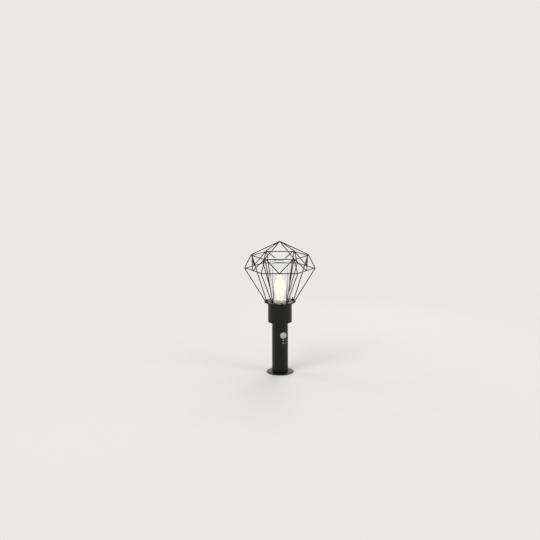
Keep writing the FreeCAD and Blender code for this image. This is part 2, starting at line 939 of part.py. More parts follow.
def holder_parts():
    """The porcelain lampholder, its threaded brass shell and its centre contact."""
    thread = "nipple_dia / 2 + thread_gap"
    keep(
        turned(
            "holder_body",
            [
                (thread, "holder_foot"),
                ("holder_neck_dia / 2", "holder_foot"),
                ("holder_dia / 2", "holder_foot + holder_cone_height", "holder_cone_height / 3"),
                ("holder_dia / 2", "holder_top", "holder_rim_bend"),
                ("holder_bore_dia / 2", "holder_top"),
                ("holder_bore_dia / 2", "holder_floor"),
                ("0", "holder_floor"),
                ("0", "holder_foot + nipple_grip + fit_gap"),
                (thread, "holder_foot + nipple_grip + fit_gap"),
            ],
        )
    )
    keep(
        turned(
            "holder_shell",
            [
                ("shell_dia / 2 - shell_wall", "holder_floor"),
                ("shell_dia / 2", "holder_floor"),
                ("shell_dia / 2", "holder_top - shell_drop"),
                ("shell_dia / 2 - shell_wall", "holder_top - shell_drop"),
            ],
        )
    )
    keep(
        turned(
            "holder_contact",
            [
                ("0", "holder_floor"),
                ("contact_foot_dia / 2", "holder_floor"),
                ("contact_foot_dia / 2", "holder_floor + contact_foot_thick"),
                ("contact_dia / 2", "holder_floor + contact_foot_thick"),
                ("contact_dia / 2", "holder_floor + contact_height"),
                ("0", "holder_floor + contact_height"),
            ],
        )
    )


# Gallery, glass and cage


def stud_places():
    """Give the two opposite places of the cage studs, across and back."""
    places = []
    for side in (0, 180):
        angle = f"stud_turn + {side}"
        places.append((f"stud_reach * cos({angle})", f"stud_reach * sin({angle})"))
    return places


def gallery_plate():
    """The round plate on the collar, dished in the middle to seat the glass."""
    floor = "seat_top - sheet_thick"
    body = turned(
        "gallery_plate",
        [
            ("gallery_bore_dia / 2", floor),
            ("seat_dia / 2", floor),
            ("seat_dia / 2", "collar_top"),
            ("gallery_dia / 2", "collar_top"),
            ("gallery_dia / 2", "plate_top"),
            ("recess_dia / 2", "plate_top"),
            ("recess_dia / 2", "seat_top"),
            ("gallery_bore_dia / 2", "seat_top"),
        ],
    )
    drill(body, "plate_holes", "XY_Plane", [(*place, "tapped_dia") for place in stud_places()])
    return keep(body)


def glass_seal():
    """The flat silicone ring under the glass."""
    outer = "flange_dia / 2"
    body = turned(
        "glass_seal",
        [
            (f"{outer} - seal_width", "seat_top"),
            (outer, "seat_top"),
            (outer, "glass_foot"),
            (f"{outer} - seal_width", "glass_foot"),
        ],
    )
    return keep(body)


def glass_cover():
    """The clear cylinder, closed and rounded at its top, with a foot flange that the cage holds down."""
    inner = "glass_dia / 2 - glass_wall"
    body = turned(
        "glass_cover",
        [
            (inner, "glass_foot"),
            ("flange_dia / 2", "glass_foot"),
            ("flange_dia / 2", "glass_foot + flange_thick"),
            ("glass_dia / 2", "glass_foot + flange_thick"),
            ("glass_dia / 2", "glass_top", "glass_bend"),
            ("0", "glass_top"),
            ("0", "glass_top - glass_wall"),
            (inner, "glass_top - glass_wall", "glass_bend - glass_wall"),
        ],
    )
    return keep(body)


def cage_studs():
    """Two threaded studs pressed into the gallery plate, flush below."""
    studs = []
    for number, place in enumerate(stud_places()):
        piece = padded(
            f"cage_stud_{number + 1}",
            "XY_Plane",
            "collar_top",
            "sheet_thick + ring_thick + stud_rise",
            circles=[("0", "0", "screw_dia")],
        )
        move(piece, *place)
        studs.append(piece)
    return keep(group("cage_studs", studs))


def cage_nuts():
    """The nuts that hold the cage down."""
    nuts = []
    for number, place in enumerate(stud_places()):
        piece = nut(f"cage_nut_{number + 1}", "nut_across_flats", "running_dia", "ring_top", "nut_thick")
        move(piece, *place)
        nuts.append(piece)
    return keep(group("cage_nuts", nuts))


def cage_base_ring():
    """The flat ring that the wires' feet are welded to; it lies on the gallery plate and on the glass."""
    body = turned(
        "cage_base_ring",
        [
            ("ring_bore_dia / 2", "plate_top"),
            ("gallery_dia / 2", "plate_top"),
            ("gallery_dia / 2", "ring_top"),
            ("ring_bore_dia / 2", "ring_top"),
        ],
    )
    drill(body, "ring_holes", "XY_Plane", [(*place, "running_dia") for place in stud_places()])
    return keep(body)


def trim_foot(body, reach):
    """Cut a wire's foot flush with the base ring's top."""
    sketch = sketch_on(body, body.Name + "_foot_line", "XZ_Plane")
    left = f"{reach} - trim_reach"
    right = f"{reach} + trim_reach"
    draw_runs(sketch, rectangle(left, right, "ring_top - trim_reach", "ring_top"))
    pocket(body, sketch)


def mitre_tip(body):
    """Cut a rib's tip to its own sixth of a turn, so that six tips meet at the apex."""
    sketch = sketch_on(body, body.Name + "_tip_line", "XY_Plane")
    reach = "mitre_reach"
    slope = f"{reach} * tan(30)"
    draw_runs(
        sketch,
        [
            ("0", "0"),
            (reach, slope),
            (reach, reach),
            (f"-{reach}", reach),
            (f"-{reach}", f"-{reach}"),
            (reach, f"-{reach}"),
            (reach, f"-{slope}"),
        ],
    )
    pocket(body, sketch)


def ribs():
    """Six outer wires, each bent twice: apex, upper bend, girdle bend, foot."""
    fall = "wire_dia"
    for k in range(WIRE_COUNT):
        body = new_body(f"rib_{k + 1}")
        path = sketch_on(body, body.Name + "_path", "XZ_Plane")
        draw_runs(
            path,
            [
                ("0", "apex_height"),
                ("upper_reach", "upper_height", "rib_bend"),
                ("girdle_reach", "girdle_height", "rib_bend"),
                (
                    f"foot_reach - {fall} * (girdle_reach - foot_reach) / leg_run",
                    f"ring_top - {fall} * (girdle_height - ring_top) / leg_run",
                ),
            ],
            closed=False,
        )
        wire_along(body, path)
        mitre_tip(body)
        trim_foot(body, "foot_reach")
        turn(body, f"60 * {k}")
        keep(body)


def stays():
    """Six straight inner wires from the upper ring's corners to the base ring."""
    for k in range(WIRE_COUNT):
        body = new_body(f"stay_{k + 1}")
        path = sketch_on(body, body.Name + "_path", "XZ_Plane")
        lean = "(upper_corner_reach - stay_foot) / (upper_corner_height - ring_top)"
        run = f"sqrt(1 + ({lean}) ^ 2)"
        short = f"(wire_dia / 2 + weld_gap) / {run}"
        draw_runs(
            path,
            [
                (f"upper_corner_reach - {lean} * {short}", f"upper_corner_height - {short}"),
                (f"stay_foot - wire_dia * {lean}", "ring_top - wire_dia"),
            ],
            closed=False,
        )
        wire_along(body, path)
        trim_foot(body, "stay_foot")
        turn(body, f"60 * {k}")
        keep(body)


def hexagon_ring(label, reach, height):
    """A closed ring of wire bent to a hexagon, with a corner inside each rib."""
    body = new_body(label)
    path = sketch_on(body, label + "_path", "XY_Plane", height)
    corners = []
    for k in range(WIRE_COUNT):
        up = "0" if k in (0, 3) else f"{reach} * sin(60 * {k})"
        corners.append((f"{reach} * cos(60 * {k})", up, "ring_bend"))
    draw_runs(path, corners)
    wire_along(body, path)
    return keep(body)


def vees():
    """Six V wires: each hangs from the upper ring and is bent at the middle of a girdle edge."""
    for k in range(WIRE_COUNT):
        body = new_body(f"vee_{k + 1}")
        path = sketch_on(body, body.Name + "_path", "XZ_Plane", "vee_flat")
        path.AttachmentOffset = Placement(Vector(), Rotation(Vector(1, 0, 0), -size("vee_lean")))
        bind(path, "AttachmentOffset.Base.y", "girdle_corner_height")
        bind(path, "AttachmentOffset.Rotation.Angle", "-vee_lean")
        draw_runs(
            path,
            [
                ("-vee_half_width", "vee_length"),
                ("0", "0", "vee_bend"),
                ("vee_half_width", "vee_length"),
            ],
            closed=False,
        )
        wire_along(body, path)
        turn(body, f"60 * {k}")
        keep(body)


# Bulb


def bulb_cap():
    """The screw cap: a rolled thread drawn as ridges, closed in below towards the insulator."""
    crest = "cap_dia / 2"
    root = "cap_root_dia / 2"
    corners = [("tip_dia / 2 + cap_wall", "cap_foot"), (root, "cap_foot")]
    for ridge in range(THREAD_RIDGES):
        foot = f"cap_foot + thread_step + thread_pitch * {ridge}"
        corners.append((root, foot))
        corners.append((crest, f"{foot} + thread_step"))
        corners.append((crest, f"{foot} + 2 * thread_step"))
        corners.append((root, f"{foot} + 3 * thread_step"))
    corners.append((root, "cap_top"))
    corners.append(("envelope_neck_dia / 2", "cap_top"))
    corners.append(("envelope_neck_dia / 2", "cap_foot + cap_wall"))
    corners.append(("tip_dia / 2 + cap_wall", "cap_foot + cap_wall"))
    return keep(turned("bulb_cap", corners))


def bulb_end():
    """The black glass insulator and the solder tip below the cap."""
    keep(
        turned(
            "bulb_insulator",
            [
                ("0", "insulator_foot"),
                ("tip_dia / 2", "insulator_foot"),
                ("cap_root_dia / 2", "cap_foot"),
                ("0", "cap_foot"),
            ],
        )
    )
    keep(
        turned(
            "bulb_tip",
            [
                ("0", "tip_foot"),
                ("contact_dia / 2", "tip_foot"),
                ("tip_dia / 2", "insulator_foot"),
                ("0", "insulator_foot"),
            ],
        )
    )


def bulb_envelope():
    """The candle-shaped glass: a slim neck, a belly low down and a rounded tip."""
    neck = "envelope_neck_dia / 2"
    belly = "belly_meeting_dia / 2"
    tip = "envelope_tip_dia / 2"
    top = "cap_top + envelope_height"
    wall = "envelope_wall"
    body = turned(
        "bulb_envelope",
        [
            (f"{neck} - {wall}", "cap_top"),
            (neck, "cap_top"),
            (neck, "cap_top + envelope_neck_height", "neck_bend"),
            (belly, "cap_top + belly_height", "belly_bend"),
            (tip, top, "tip_bend"),
            ("0", top),
            ("0", f"{top} - {wall}"),
            (f"{tip} - {wall} / 2", f"{top} - {wall}", "tip_bend"),
            (f"{belly} - {wall}", "cap_top + belly_height", "belly_bend"),
            (f"{neck} - {wall}", "cap_top + envelope_neck_height", "neck_bend"),
        ],
    )
    return keep(body)


def bulb_inside():
    """The glass stem with its two wire crowns, drawn as discs, and four light-emitting filaments."""
    foot = "envelope_neck_dia / 2 - envelope_wall - fit_gap"
    rod = "stem_dia / 2"
    crown = "crown_dia / 2"
    lower = "filament_foot - crown_thick"
    keep(
        turned(
            "bulb_stem",
            [
                ("0", "cap_top"),
                (foot, "cap_top"),
                (foot, "cap_top + crown_thick"),
                (rod, "cap_top + crown_thick + stem_flare_height"),
                (rod, lower),
                (crown, lower),
                (crown, "filament_foot"),
                (rod, "filament_foot"),
                (rod, "filament_top"),
                (crown, "filament_top"),
                (crown, "filament_top + crown_thick"),
                ("0", "filament_top + crown_thick"),
            ],
        )
    )
    filaments = []
    for number in range(FILAMENT_COUNT):
        piece = padded(
            f"filament_{number + 1}",
            "XY_Plane",
            "filament_foot",
            "filament_length",
            circles=[("0", "0", "filament_dia")],
        )
        angle = f"45 + 360 / {FILAMENT_COUNT} * {number}"
        move(piece, f"filament_reach * cos({angle})", f"filament_reach * sin({angle})")
        filaments.append(piece)
    keep(group("bulb_filaments", filaments))


def build():
    """Make every sub-part."""
    fill_sheet()
    base_plate()
    base_spigot()
    cable_grommet()
    earth_screw()
    terminal_parts()
    post_tube()
    grub_screws()
    post_cap()
    sensor_carrier()
    carrier_screw()
    sensor_board()
    board_parts()
    trimmers()
    pir_lens()
    lens_seal()
    collar_cup()
    collar_screws()
    nipple_parts()
    holder_parts()
    gallery_plate()
    glass_seal()
    glass_cover()
    cage_studs()
    cage_nuts()
    cage_base_ring()
    ribs()
    stays()
    hexagon_ring("upper_ring", "upper_point_reach", "upper_corner_height")
    hexagon_ring("girdle_ring", "girdle_point_reach", "girdle_corner_height")
    vees()
    bulb_cap()
    bulb_end()
    bulb_envelope()
    bulb_inside()
    doc.recompute()


def check_document():
    """Stop if any object failed or any sub-part isn't a sound solid."""
    for thing in doc.Objects:
        if "Invalid" in thing.State or "Error" in thing.State:
            raise RuntimeError(f"{thing.Name} failed: {thing.State}")
    for label, thing in nodes.items():
        shape = thing.Shape
        if shape.isNull() or not shape.isValid() or not shape.Solids:
            raise RuntimeError(f"{label} has no sound solid")


def write_parts():
    """Write each sub-part's shape under its name."""
    os.makedirs("parts", exist_ok=True)
    for label, thing in nodes.items():
        thing.Shape.exportStep(f"parts/{label}.step")
    print(len(nodes), "sub-parts written")


build()
check_document()
write_parts()
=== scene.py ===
# %% [markdown]
# # A path light with a wire cage and a motion sensor
# The real light is black powder-coated steel: a round foot, a post with a small motion sensor, a wider
# collar, and a cage of bent wire like a cut gem. Inside the cage a clear glass cylinder covers a lit candle
# bulb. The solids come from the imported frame. This lesson gives each one its finish, and adds the small
# things that a solid leaves out: rounded edges, weld beads, threads, lens facets, printed signs and the
# inside of the bulb.

# %% Load the frame
import json
import math

import bmesh
import bpy
from mathutils import Matrix, Vector, noise


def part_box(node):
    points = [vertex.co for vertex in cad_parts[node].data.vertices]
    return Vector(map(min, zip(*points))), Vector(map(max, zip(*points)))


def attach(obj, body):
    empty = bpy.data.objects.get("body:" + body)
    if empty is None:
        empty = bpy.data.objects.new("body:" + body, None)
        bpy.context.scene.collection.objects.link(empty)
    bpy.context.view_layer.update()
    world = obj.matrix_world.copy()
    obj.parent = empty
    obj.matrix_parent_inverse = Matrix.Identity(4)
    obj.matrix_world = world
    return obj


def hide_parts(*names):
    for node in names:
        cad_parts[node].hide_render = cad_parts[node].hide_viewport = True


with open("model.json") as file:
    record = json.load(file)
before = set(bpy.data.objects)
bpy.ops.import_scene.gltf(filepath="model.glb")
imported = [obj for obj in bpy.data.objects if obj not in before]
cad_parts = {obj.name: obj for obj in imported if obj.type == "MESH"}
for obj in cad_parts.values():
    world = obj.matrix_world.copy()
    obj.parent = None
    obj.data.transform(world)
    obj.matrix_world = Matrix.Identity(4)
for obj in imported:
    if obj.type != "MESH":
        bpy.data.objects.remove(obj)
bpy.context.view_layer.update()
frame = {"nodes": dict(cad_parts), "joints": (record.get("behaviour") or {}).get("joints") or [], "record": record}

# %% [markdown]
# Sizes on the light are written in millimetres and turned to Blender's metres with MM. Floor, lamps and
# camera are written in metres, unless a name says otherwise. A new piece goes where its solid is, so places
# are read from the solids' boxes and from the joints, instead of being written down a second time. Azimuth 0
# faces the front of the light, and the sensor is turned from there.

# %% Sizes from the frame
MM = 0.001
UP = Vector((0, 0, 1))


def span(node):
    """Give a solid's lowest and highest corner in millimetres."""
    low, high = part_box(node)
    return low / MM, high / MM


def middle_height(node):
    """Give the height of a solid's middle in millimetres."""
    low, high = span(node)
    return (low.z + high.z) / 2


POST_RADIUS = span("post_tube")[1].x
# The sensor's controls turn about axes that point straight out of the post
control_axis = next(joint["axis"] for joint in frame["joints"] if joint["name"] == "time_turn")
SENSOR_AZIMUTH = math.degrees(math.atan2(control_axis[0], -control_axis[1]))
print("post radius", round(POST_RADIUS, 2), "mm, sensor at", round(SENSOR_AZIMUTH, 2), "degrees")

# %% [markdown]
# Shader colours are linear, but people read colours as sRGB hex values, so one function changes them over.
# Another adds a shader node: it takes the node's kind, what feeds its sockets, and its settings.

# %% Colours and nodes
def linear(hex_code):
    """Turn an sRGB hex value into a linear colour."""
    channels = [int(hex_code[k : k + 2], 16) / 255 for k in (1, 3, 5)]
    # The sRGB standard gives this curve, with its straight part near black
    bent = [c / 12.92 if c <= 0.04045 else ((c + 0.055) / 1.055) ** 2.4 for c in channels]
    return (*bent, 1.0)


def per_mm(size):
    """Give the texture scale whose pattern repeats about every so many millimetres."""
    return 1 / (size * MM)


def add(mat, kind, feeds=None, **settings):
    """Add one node, with its settings, and values or other nodes' outputs for its sockets."""
    made = mat.node_tree.nodes.new(kind)
    for name, value in settings.items():
        setattr(made, name, value)
    for socket, value in (feeds or {}).items():
        if isinstance(value, bpy.types.NodeSocket):
            mat.node_tree.links.new(value, made.inputs[socket])
        else:
            made.inputs[socket].default_value = value
    return made


def link(mat, output, shader, socket):
    """Feed a socket of a node that is there already."""
    mat.node_tree.links.new(output, shader.inputs[socket])


print("a hex value of 80 is", round(linear("#808080")[0], 3), "in linear light")

# %% [markdown]
# Most finishes on this light share one plan. Two near colours mix over a grain of a known size, the
# roughness varies with the same grain, and a finer grain lifts the surface a little. What makes each finish
# its own are the numbers, so the plan is one function, and the finishes that need more add their nodes
# afterwards.

# %% One plan for a finish
GRAIN_DETAIL = 3.0
FINISH = {}


def surface(
    name, colours, grain_mm, roughness, relief_mm=0.0, relief_grain_mm=1.0, stretch=(1, 1, 1), **values
):
    """Make a finish: two colours over a grain, roughness from low to high over it, and a fine relief."""
    mat = bpy.data.materials.new(name)
    mat.use_nodes = True
    shader = mat.node_tree.nodes["Principled BSDF"]
    for socket, value in values.items():
        shader.inputs[socket.replace("_", " ")].default_value = value
    place = add(mat, "ShaderNodeTexCoord").outputs["Object"]
    drawn = add(mat, "ShaderNodeMapping", {"Vector": place, "Scale": stretch}).outputs["Vector"]
    coarse = {"Vector": drawn, "Scale": per_mm(grain_mm), "Detail": GRAIN_DETAIL}
    grain = add(mat, "ShaderNodeTexNoise", coarse).outputs["Fac"]
    # A Mix node for colours has its two colours at inputs 6 and 7, and its result at output 2
    blend = {0: grain, 6: linear(colours[0]), 7: linear(colours[1])}
    tint = add(mat, "ShaderNodeMix", blend, data_type="RGBA")
    link(mat, tint.outputs[2], shader, "Base Color")
    limits = {"Value": grain, "To Min": roughness[0], "To Max": roughness[1]}
    gloss = add(mat, "ShaderNodeMapRange", limits)
    link(mat, gloss.outputs["Result"], shader, "Roughness")
    if relief_mm:
        fine = {"Vector": drawn, "Scale": per_mm(relief_grain_mm), "Detail": GRAIN_DETAIL}
        waves = add(mat, "ShaderNodeTexNoise", fine).outputs["Fac"]
        bump = add(mat, "ShaderNodeBump", {"Height": waves, "Distance": relief_mm * MM, "Strength": 1.0})
        link(mat, bump.outputs["Normal"], shader, "Normal")
    return mat


print("a grain of 2 mm has a scale of", per_mm(2))

# %% [markdown]
# ## Finishes
# Nearly all that shows is mild steel under satin black powder coat. The powder melts in an oven and flows to
# a film with a faint orange peel: very dark, a little glossy, with soft waves. On the real film the waves
# are about a millimetre wide. They are drawn twice as wide and deeper here, because otherwise they would
# not show in a picture at all.

# %% Black finishes
FINISH["black_paint"] = surface(
    "satin_black_powder_coat",
    ("#070708", "#0f0f10"),
    grain_mm=4.0,
    roughness=(0.36, 0.46),
    relief_mm=0.03,
    relief_grain_mm=2.2,
    IOR=1.5,
    Specular_IOR_Level=0.25,
)
# Black passivated zinc is a metal film, so it reflects more than paint does
FINISH["black_zinc"] = surface(
    "black_passivated_zinc",
    ("#1c1c1f", "#2b2b30"),
    grain_mm=1.5,
    roughness=(0.3, 0.45),
    relief_mm=0.01,
    relief_grain_mm=0.5,
    Metallic=1.0,
)
# Rubber takes the blasted skin of its mould, and looks matt
FINISH["rubber"] = surface(
    "moulded_black_rubber",
    ("#161616", "#222221"),
    grain_mm=2.0,
    roughness=(0.7, 0.85),
    relief_mm=0.03,
    relief_grain_mm=0.4,
    IOR=1.52,
)
# ABS takes the fine texture of its mould, which leaves an even, half-matt skin
FINISH["black_plastic"] = surface(
    "moulded_black_abs",
    ("#18181a", "#242426"),
    grain_mm=3.0,
    roughness=(0.45, 0.6),
    relief_mm=0.02,
    relief_grain_mm=0.5,
    IOR=1.53,
)
print(len(FINISH), "black finishes")

# %% [markdown]
# The metals inside are bright. Zinc plate is a blue-grey metal with soft clouds, drawn brass keeps fine lines
# along its draw, and nickel is warmer and smoother. All of them are metals, so they keep the default IOR,
# and only their colour and roughness tell them apart.

# %% Bright metals
ALONG_Z = (1, 1, 0.08)
FINISH["bright_zinc"] = surface(
    "bright_zinc_plate",
    ("#a9adb3", "#c6c9cc"),
    grain_mm=2.5,
    roughness=(0.25, 0.42),
    relief_mm=0.01,
    relief_grain_mm=0.6,
    Metallic=1.0,
)
FINISH["brass"] = surface(
    "drawn_brass",
    ("#b98d3e", "#d8b263"),
    grain_mm=0.8,
    roughness=(0.22, 0.38),
    relief_mm=0.01,
    relief_grain_mm=0.3,
    stretch=ALONG_Z,
    Metallic=1.0,
)
FINISH["sensor_can"] = surface(
    "nickel_plated_can", ("#b4b2ab", "#cbc9c2"), grain_mm=1.0, roughness=(0.2, 0.3), Metallic=1.0
)
# The bulb's cap is rolled from sheet, and the rolls leave it a little uneven
FINISH["cap_nickel"] = surface(
    "rolled_nickel_plate",
    ("#aeaba3", "#cfccc4"),
    grain_mm=1.2,
    roughness=(0.2, 0.36),
    relief_mm=0.01,
    relief_grain_mm=0.5,
    Metallic=1.0,
)
# Solder sets with a dull, lumpy skin
FINISH["solder"] = surface(
    "tin_solder",
    ("#9b9b9c", "#c4c4c5"),
    grain_mm=0.7,
    roughness=(0.3, 0.5),
    relief_mm=0.03,
    relief_grain_mm=0.8,
    Metallic=1.0,
)
print(len(FINISH), "finishes with the metals")

# %% [markdown]
# Plastics come next. The sensor's lens is thin polyethylene, which lets heat through and looks milky: light
# enters it, scatters and comes out again, so it takes some subsurface light. The nylon, PBT and solder
# resist are opaque, and differ in colour and gloss. Silicone is soft and lets a little light in.

# %% Plastics and silicone
FINISH["lens_plastic"] = surface(
    "milky_polyethylene",
    ("#cfd2cf", "#e6e8e4"),
    grain_mm=5.0,
    roughness=(0.28, 0.38),
    relief_mm=0.01,
    relief_grain_mm=0.6,
    IOR=1.51,
    Subsurface_Weight=0.2,
    Subsurface_Radius=(1, 1, 1),
    Subsurface_Scale=MM,
)
FINISH["grey_plastic"] = surface(
    "moulded_grey_nylon",
    ("#85888b", "#999c9e"),
    grain_mm=1.5,
    roughness=(0.4, 0.55),
    relief_mm=0.02,
    relief_grain_mm=0.4,
    IOR=1.53,
)
FINISH["white_plastic"] = surface(
    "moulded_white_nylon",
    ("#dcdbd4", "#ebeae4"),
    grain_mm=2.0,
    roughness=(0.4, 0.55),
    relief_mm=0.02,
    relief_grain_mm=0.5,
    IOR=1.53,
)
FINISH["blue_plastic"] = surface(
    "moulded_blue_pbt",
    ("#22519c", "#2f63b4"),
    grain_mm=1.5,
    roughness=(0.3, 0.4),
    relief_mm=0.01,
    relief_grain_mm=0.4,
    IOR=1.55,
)
FINISH["board"] = surface(
    "green_solder_resist",
    ("#14532a", "#1f7038"),
    grain_mm=1.2,
    roughness=(0.25, 0.4),
    relief_mm=0.02,
    relief_grain_mm=0.7,
    IOR=1.55,
)
FINISH["silicone"] = surface(
    "cut_silicone_sheet",
    ("#cfcfc9", "#dededa"),
    grain_mm=2.0,
    roughness=(0.5, 0.65),
    relief_mm=0.02,
    relief_grain_mm=0.5,
    IOR=1.41,
    Subsurface_Weight=0.3,
)
print(len(FINISH), "finishes with the plastics")

# %% [markdown]
# Porcelain is white clay under a clear glaze, and the glaze is a coat with its own gloss. The bulb's end is
# black cap glass, melted in place. The cover is drawn clear glass, with waves so long and shallow that they
# only bend the wires behind it a little.

# %% Porcelain and plain glass
FINISH["porcelain"] = surface(
    "glazed_porcelain",
    ("#e9e6dc", "#f3f1ea"),
    grain_mm=8.0,
    roughness=(0.25, 0.35),
    relief_mm=0.02,
    relief_grain_mm=3.0,
    IOR=1.5,
    Coat_Weight=0.5,
    Coat_Roughness=0.15,
)
FINISH["vitrite"] = surface(
    "black_cap_glass",
    ("#0c0b10", "#17161d"),
    grain_mm=2.0,
    roughness=(0.08, 0.16),
    relief_mm=0.01,
    relief_grain_mm=1.0,
    IOR=1.55,
)
FINISH["clear_glass"] = surface(
    "drawn_clear_glass",
    ("#fbfdfc", "#ffffff"),
    grain_mm=30.0,
    roughness=(0.0, 0.01),
    relief_mm=0.005,
    relief_grain_mm=70.0,
    IOR=1.5,
    Transmission_Weight=1.0,
)
print(len(FINISH), "finishes with porcelain and clear glass")

# %% [markdown]
# The bulb is lit, and its glass is satin, etched inside. The filaments' phosphor gives the light, and the
# glass spreads it. The etch is far too fine to draw, so roughness stands for it. A real satin bulb also
# scatters light within its skin, and that is painted on as a faint glow in the glass's emission. The painted
# glow is strongest in the neck, standing for the light that the white lampholder throws back, and weaker and
# warmer towards the tip. A gradient along the height paints that, on the emission colour.

# %% The lit bulb
# How far up the glass, and the painted glow's colour there
PAINTED_GLOW_STOPS = [(0.0, "#ffe2b8"), (0.22, "#ffdcaa"), (0.45, "#c1a984"), (1.0, "#c19767")]
lit_glass = surface(
    "satin_frosted_bulb_glass",
    ("#fff4e2", "#fffaf0"),
    grain_mm=6.0,
    roughness=(0.24, 0.32),
    relief_mm=0.02,
    relief_grain_mm=0.5,
    IOR=1.5,
    Transmission_Weight=0.9,
    Emission_Strength=0.3,
)
place = add(lit_glass, "ShaderNodeTexCoord").outputs["Object"]
height = add(lit_glass, "ShaderNodeSeparateXYZ", {"Vector": place}).outputs["Z"]
bulb_low, bulb_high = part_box("bulb_envelope")
ends = {"Value": height, "From Min": bulb_low.z, "From Max": bulb_high.z}
along = add(lit_glass, "ShaderNodeMapRange", ends).outputs["Result"]
painted_glow = add(lit_glass, "ShaderNodeValToRGB", {"Fac": along})
painted_glow.color_ramp.elements[0].color = linear(PAINTED_GLOW_STOPS[0][1])
painted_glow.color_ramp.elements[1].color = linear(PAINTED_GLOW_STOPS[-1][1])
for stop, colour in PAINTED_GLOW_STOPS[1:-1]:
    painted_glow.color_ramp.elements.new(stop).color = linear(colour)
link(lit_glass, painted_glow.outputs["Color"], lit_glass.node_tree.nodes["Principled BSDF"], "Emission Color")
FINISH["bulb_glass"] = lit_glass
FINISH["filament"] = surface(
    "lit_yellow_phosphor",
    ("#f2c14e", "#ffdf8a"),
    grain_mm=1.0,
    roughness=(0.5, 0.6),
    relief_mm=0.02,
    relief_grain_mm=0.5,
    Emission_Color=linear("#ffd08a"),
    Emission_Strength=10.0,
)
print(len(FINISH), "finishes in all")

# %% [markdown]
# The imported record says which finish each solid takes. Every solid gets it now, and the pieces
# made further down take the same finishes by the same names.

# %% Dress the solids
for part in frame["record"]["subparts"]:
    solid = frame["nodes"][part["node"]]
    solid.data.materials.clear()
    solid.data.materials.append(FINISH[part["material_slot"]])
print(len(frame["nodes"]), "solids dressed")

# %% [markdown]
# ## Making pieces
# A new piece starts as a bmesh. When it is done, this function makes it an object at the origin, marks its
# sharp edges so that round faces shade smoothly between them, and lets it ride on a body of the frame.

# %% Finish a piece
SHARP = math.radians(35)
JOIN = 0.0005 * MM


def finish_piece(name, bm, slot, body, stands_for=()):
    """Turn a bmesh into a piece of the light."""
    for face in bm.faces:
        face.smooth = True
    for edge in bm.edges:
        edge.smooth = len(edge.link_faces) == 2 and edge.calc_face_angle(0) < SHARP
    mesh = bpy.data.meshes.new(name)
    bm.to_mesh(mesh)
    bm.free()
    mesh.materials.append(FINISH[slot])
    piece = bpy.data.objects.new(name, mesh)
    bpy.context.scene.collection.objects.link(piece)
    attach(piece, body)
    if stands_for:
        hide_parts(*stands_for)
    print(name, len(mesh.polygons), "faces")
    return piece


def join_in(whole, part):
    """Move one bmesh's faces into another."""
    passing = bpy.data.meshes.new("passing")
    part.to_mesh(passing)
    part.free()
    whole.from_mesh(passing)
    bpy.data.meshes.remove(passing)


print("edges of more than", round(math.degrees(SHARP)), "degrees stay sharp")

# %% [markdown]
# Sheet and tube have no knife edges: they are deburred, and the paint rounds them further. A solid's mesh is
# loose triangles, so a copy of it is joined first, flat triangles are merged to whole faces, and then its
# sharp edges are bevelled. Weighted normals keep the flat faces flat beside the round edges.

# %% Round the edges of plates, tubes and nuts
FLAT = math.radians(0.5)
EDGE_STEPS = 3
# Each solid's edge radius, its finish and the body that it rides on
EDGES_MM = {
    "base_plate": (0.5, "black_paint", "lamp"),
    "post_tube": (0.3, "black_paint", "lamp"),
    "collar_cup": (0.4, "black_paint", "lamp"),
    "gallery_plate": (0.3, "black_paint", "lamp"),
    "cage_base_ring": (0.3, "black_paint", "shade"),
    "cage_nuts": (0.3, "black_zinc", "shade"),
    "time_trimmer": (0.15, "grey_plastic", "time_control"),
    "lux_trimmer": (0.15, "grey_plastic", "lux_control"),
}


def rounded_copy(node, edge_mm, slot, body):
    """Copy a solid with its sharp edges rounded, to stand in its place."""
    bm = bmesh.new()
    bm.from_mesh(frame["nodes"][node].data)
    bmesh.ops.remove_doubles(bm, verts=bm.verts, dist=JOIN)
    bmesh.ops.dissolve_limit(bm, angle_limit=FLAT, verts=bm.verts, edges=bm.edges)
    sharp = [e for e in bm.edges if len(e.link_faces) == 2 and e.calc_face_angle(0) > SHARP]
    bmesh.ops.bevel(
        bm,
        geom=sharp,
        offset=edge_mm * MM,
        offset_type="OFFSET",
        affect="EDGES",
        segments=EDGE_STEPS,
        profile=0.5,
        material=-1,
        clamp_overlap=True,
    )
    piece = finish_piece(node + "_rounded", bm, slot, body, [node])
    weighted = piece.modifiers.new("flat_faces", "WEIGHTED_NORMAL")
    weighted.keep_sharp = True


for node, (edge_mm, slot, body) in EDGES_MM.items():
    rounded_copy(node, edge_mm, slot, body)

# %% [markdown]
# ## Weld beads
# The cage is six bent ribs, six straight stays, two hexagon rings and six V wires, joined by small welds. A
# weld leaves a lump that runs into both wires, so it lies one wire radius from the middle of a ring's wire,
# on the side where the other wire is. The rings' boxes give where their corners and edges are.

# %% Find the welds
SECTORS = 6
WIRE_RADIUS = span("rib_1")[1].y
# The tip's weld lies this far below the ribs' top, and a V wire's end welds this far in from its ends
APEX_DROP, VEE_END_SET = 2.75, 1.1
# The feet's welds lie this far in from the base ring's rim, and a little above the ring
RIB_FOOT_SET, STAY_FOOT_SET, FOOT_LIFT = 3.7, 7.1, 0.2


def ring_wire(node):
    """Give a hexagon ring's reach at its corners and its edges, and its height, all in mid wire."""
    high = span(node)[1]
    return high.x - WIRE_RADIUS, high.y - WIRE_RADIUS, middle_height(node)


def seam(reach, height, towards):
    """Give the place beside a ring's wire in a direction, in degrees upwards from straight out."""
    turn = math.radians(towards)
    return reach + WIRE_RADIUS * math.cos(turn), height + WIRE_RADIUS * math.sin(turn)


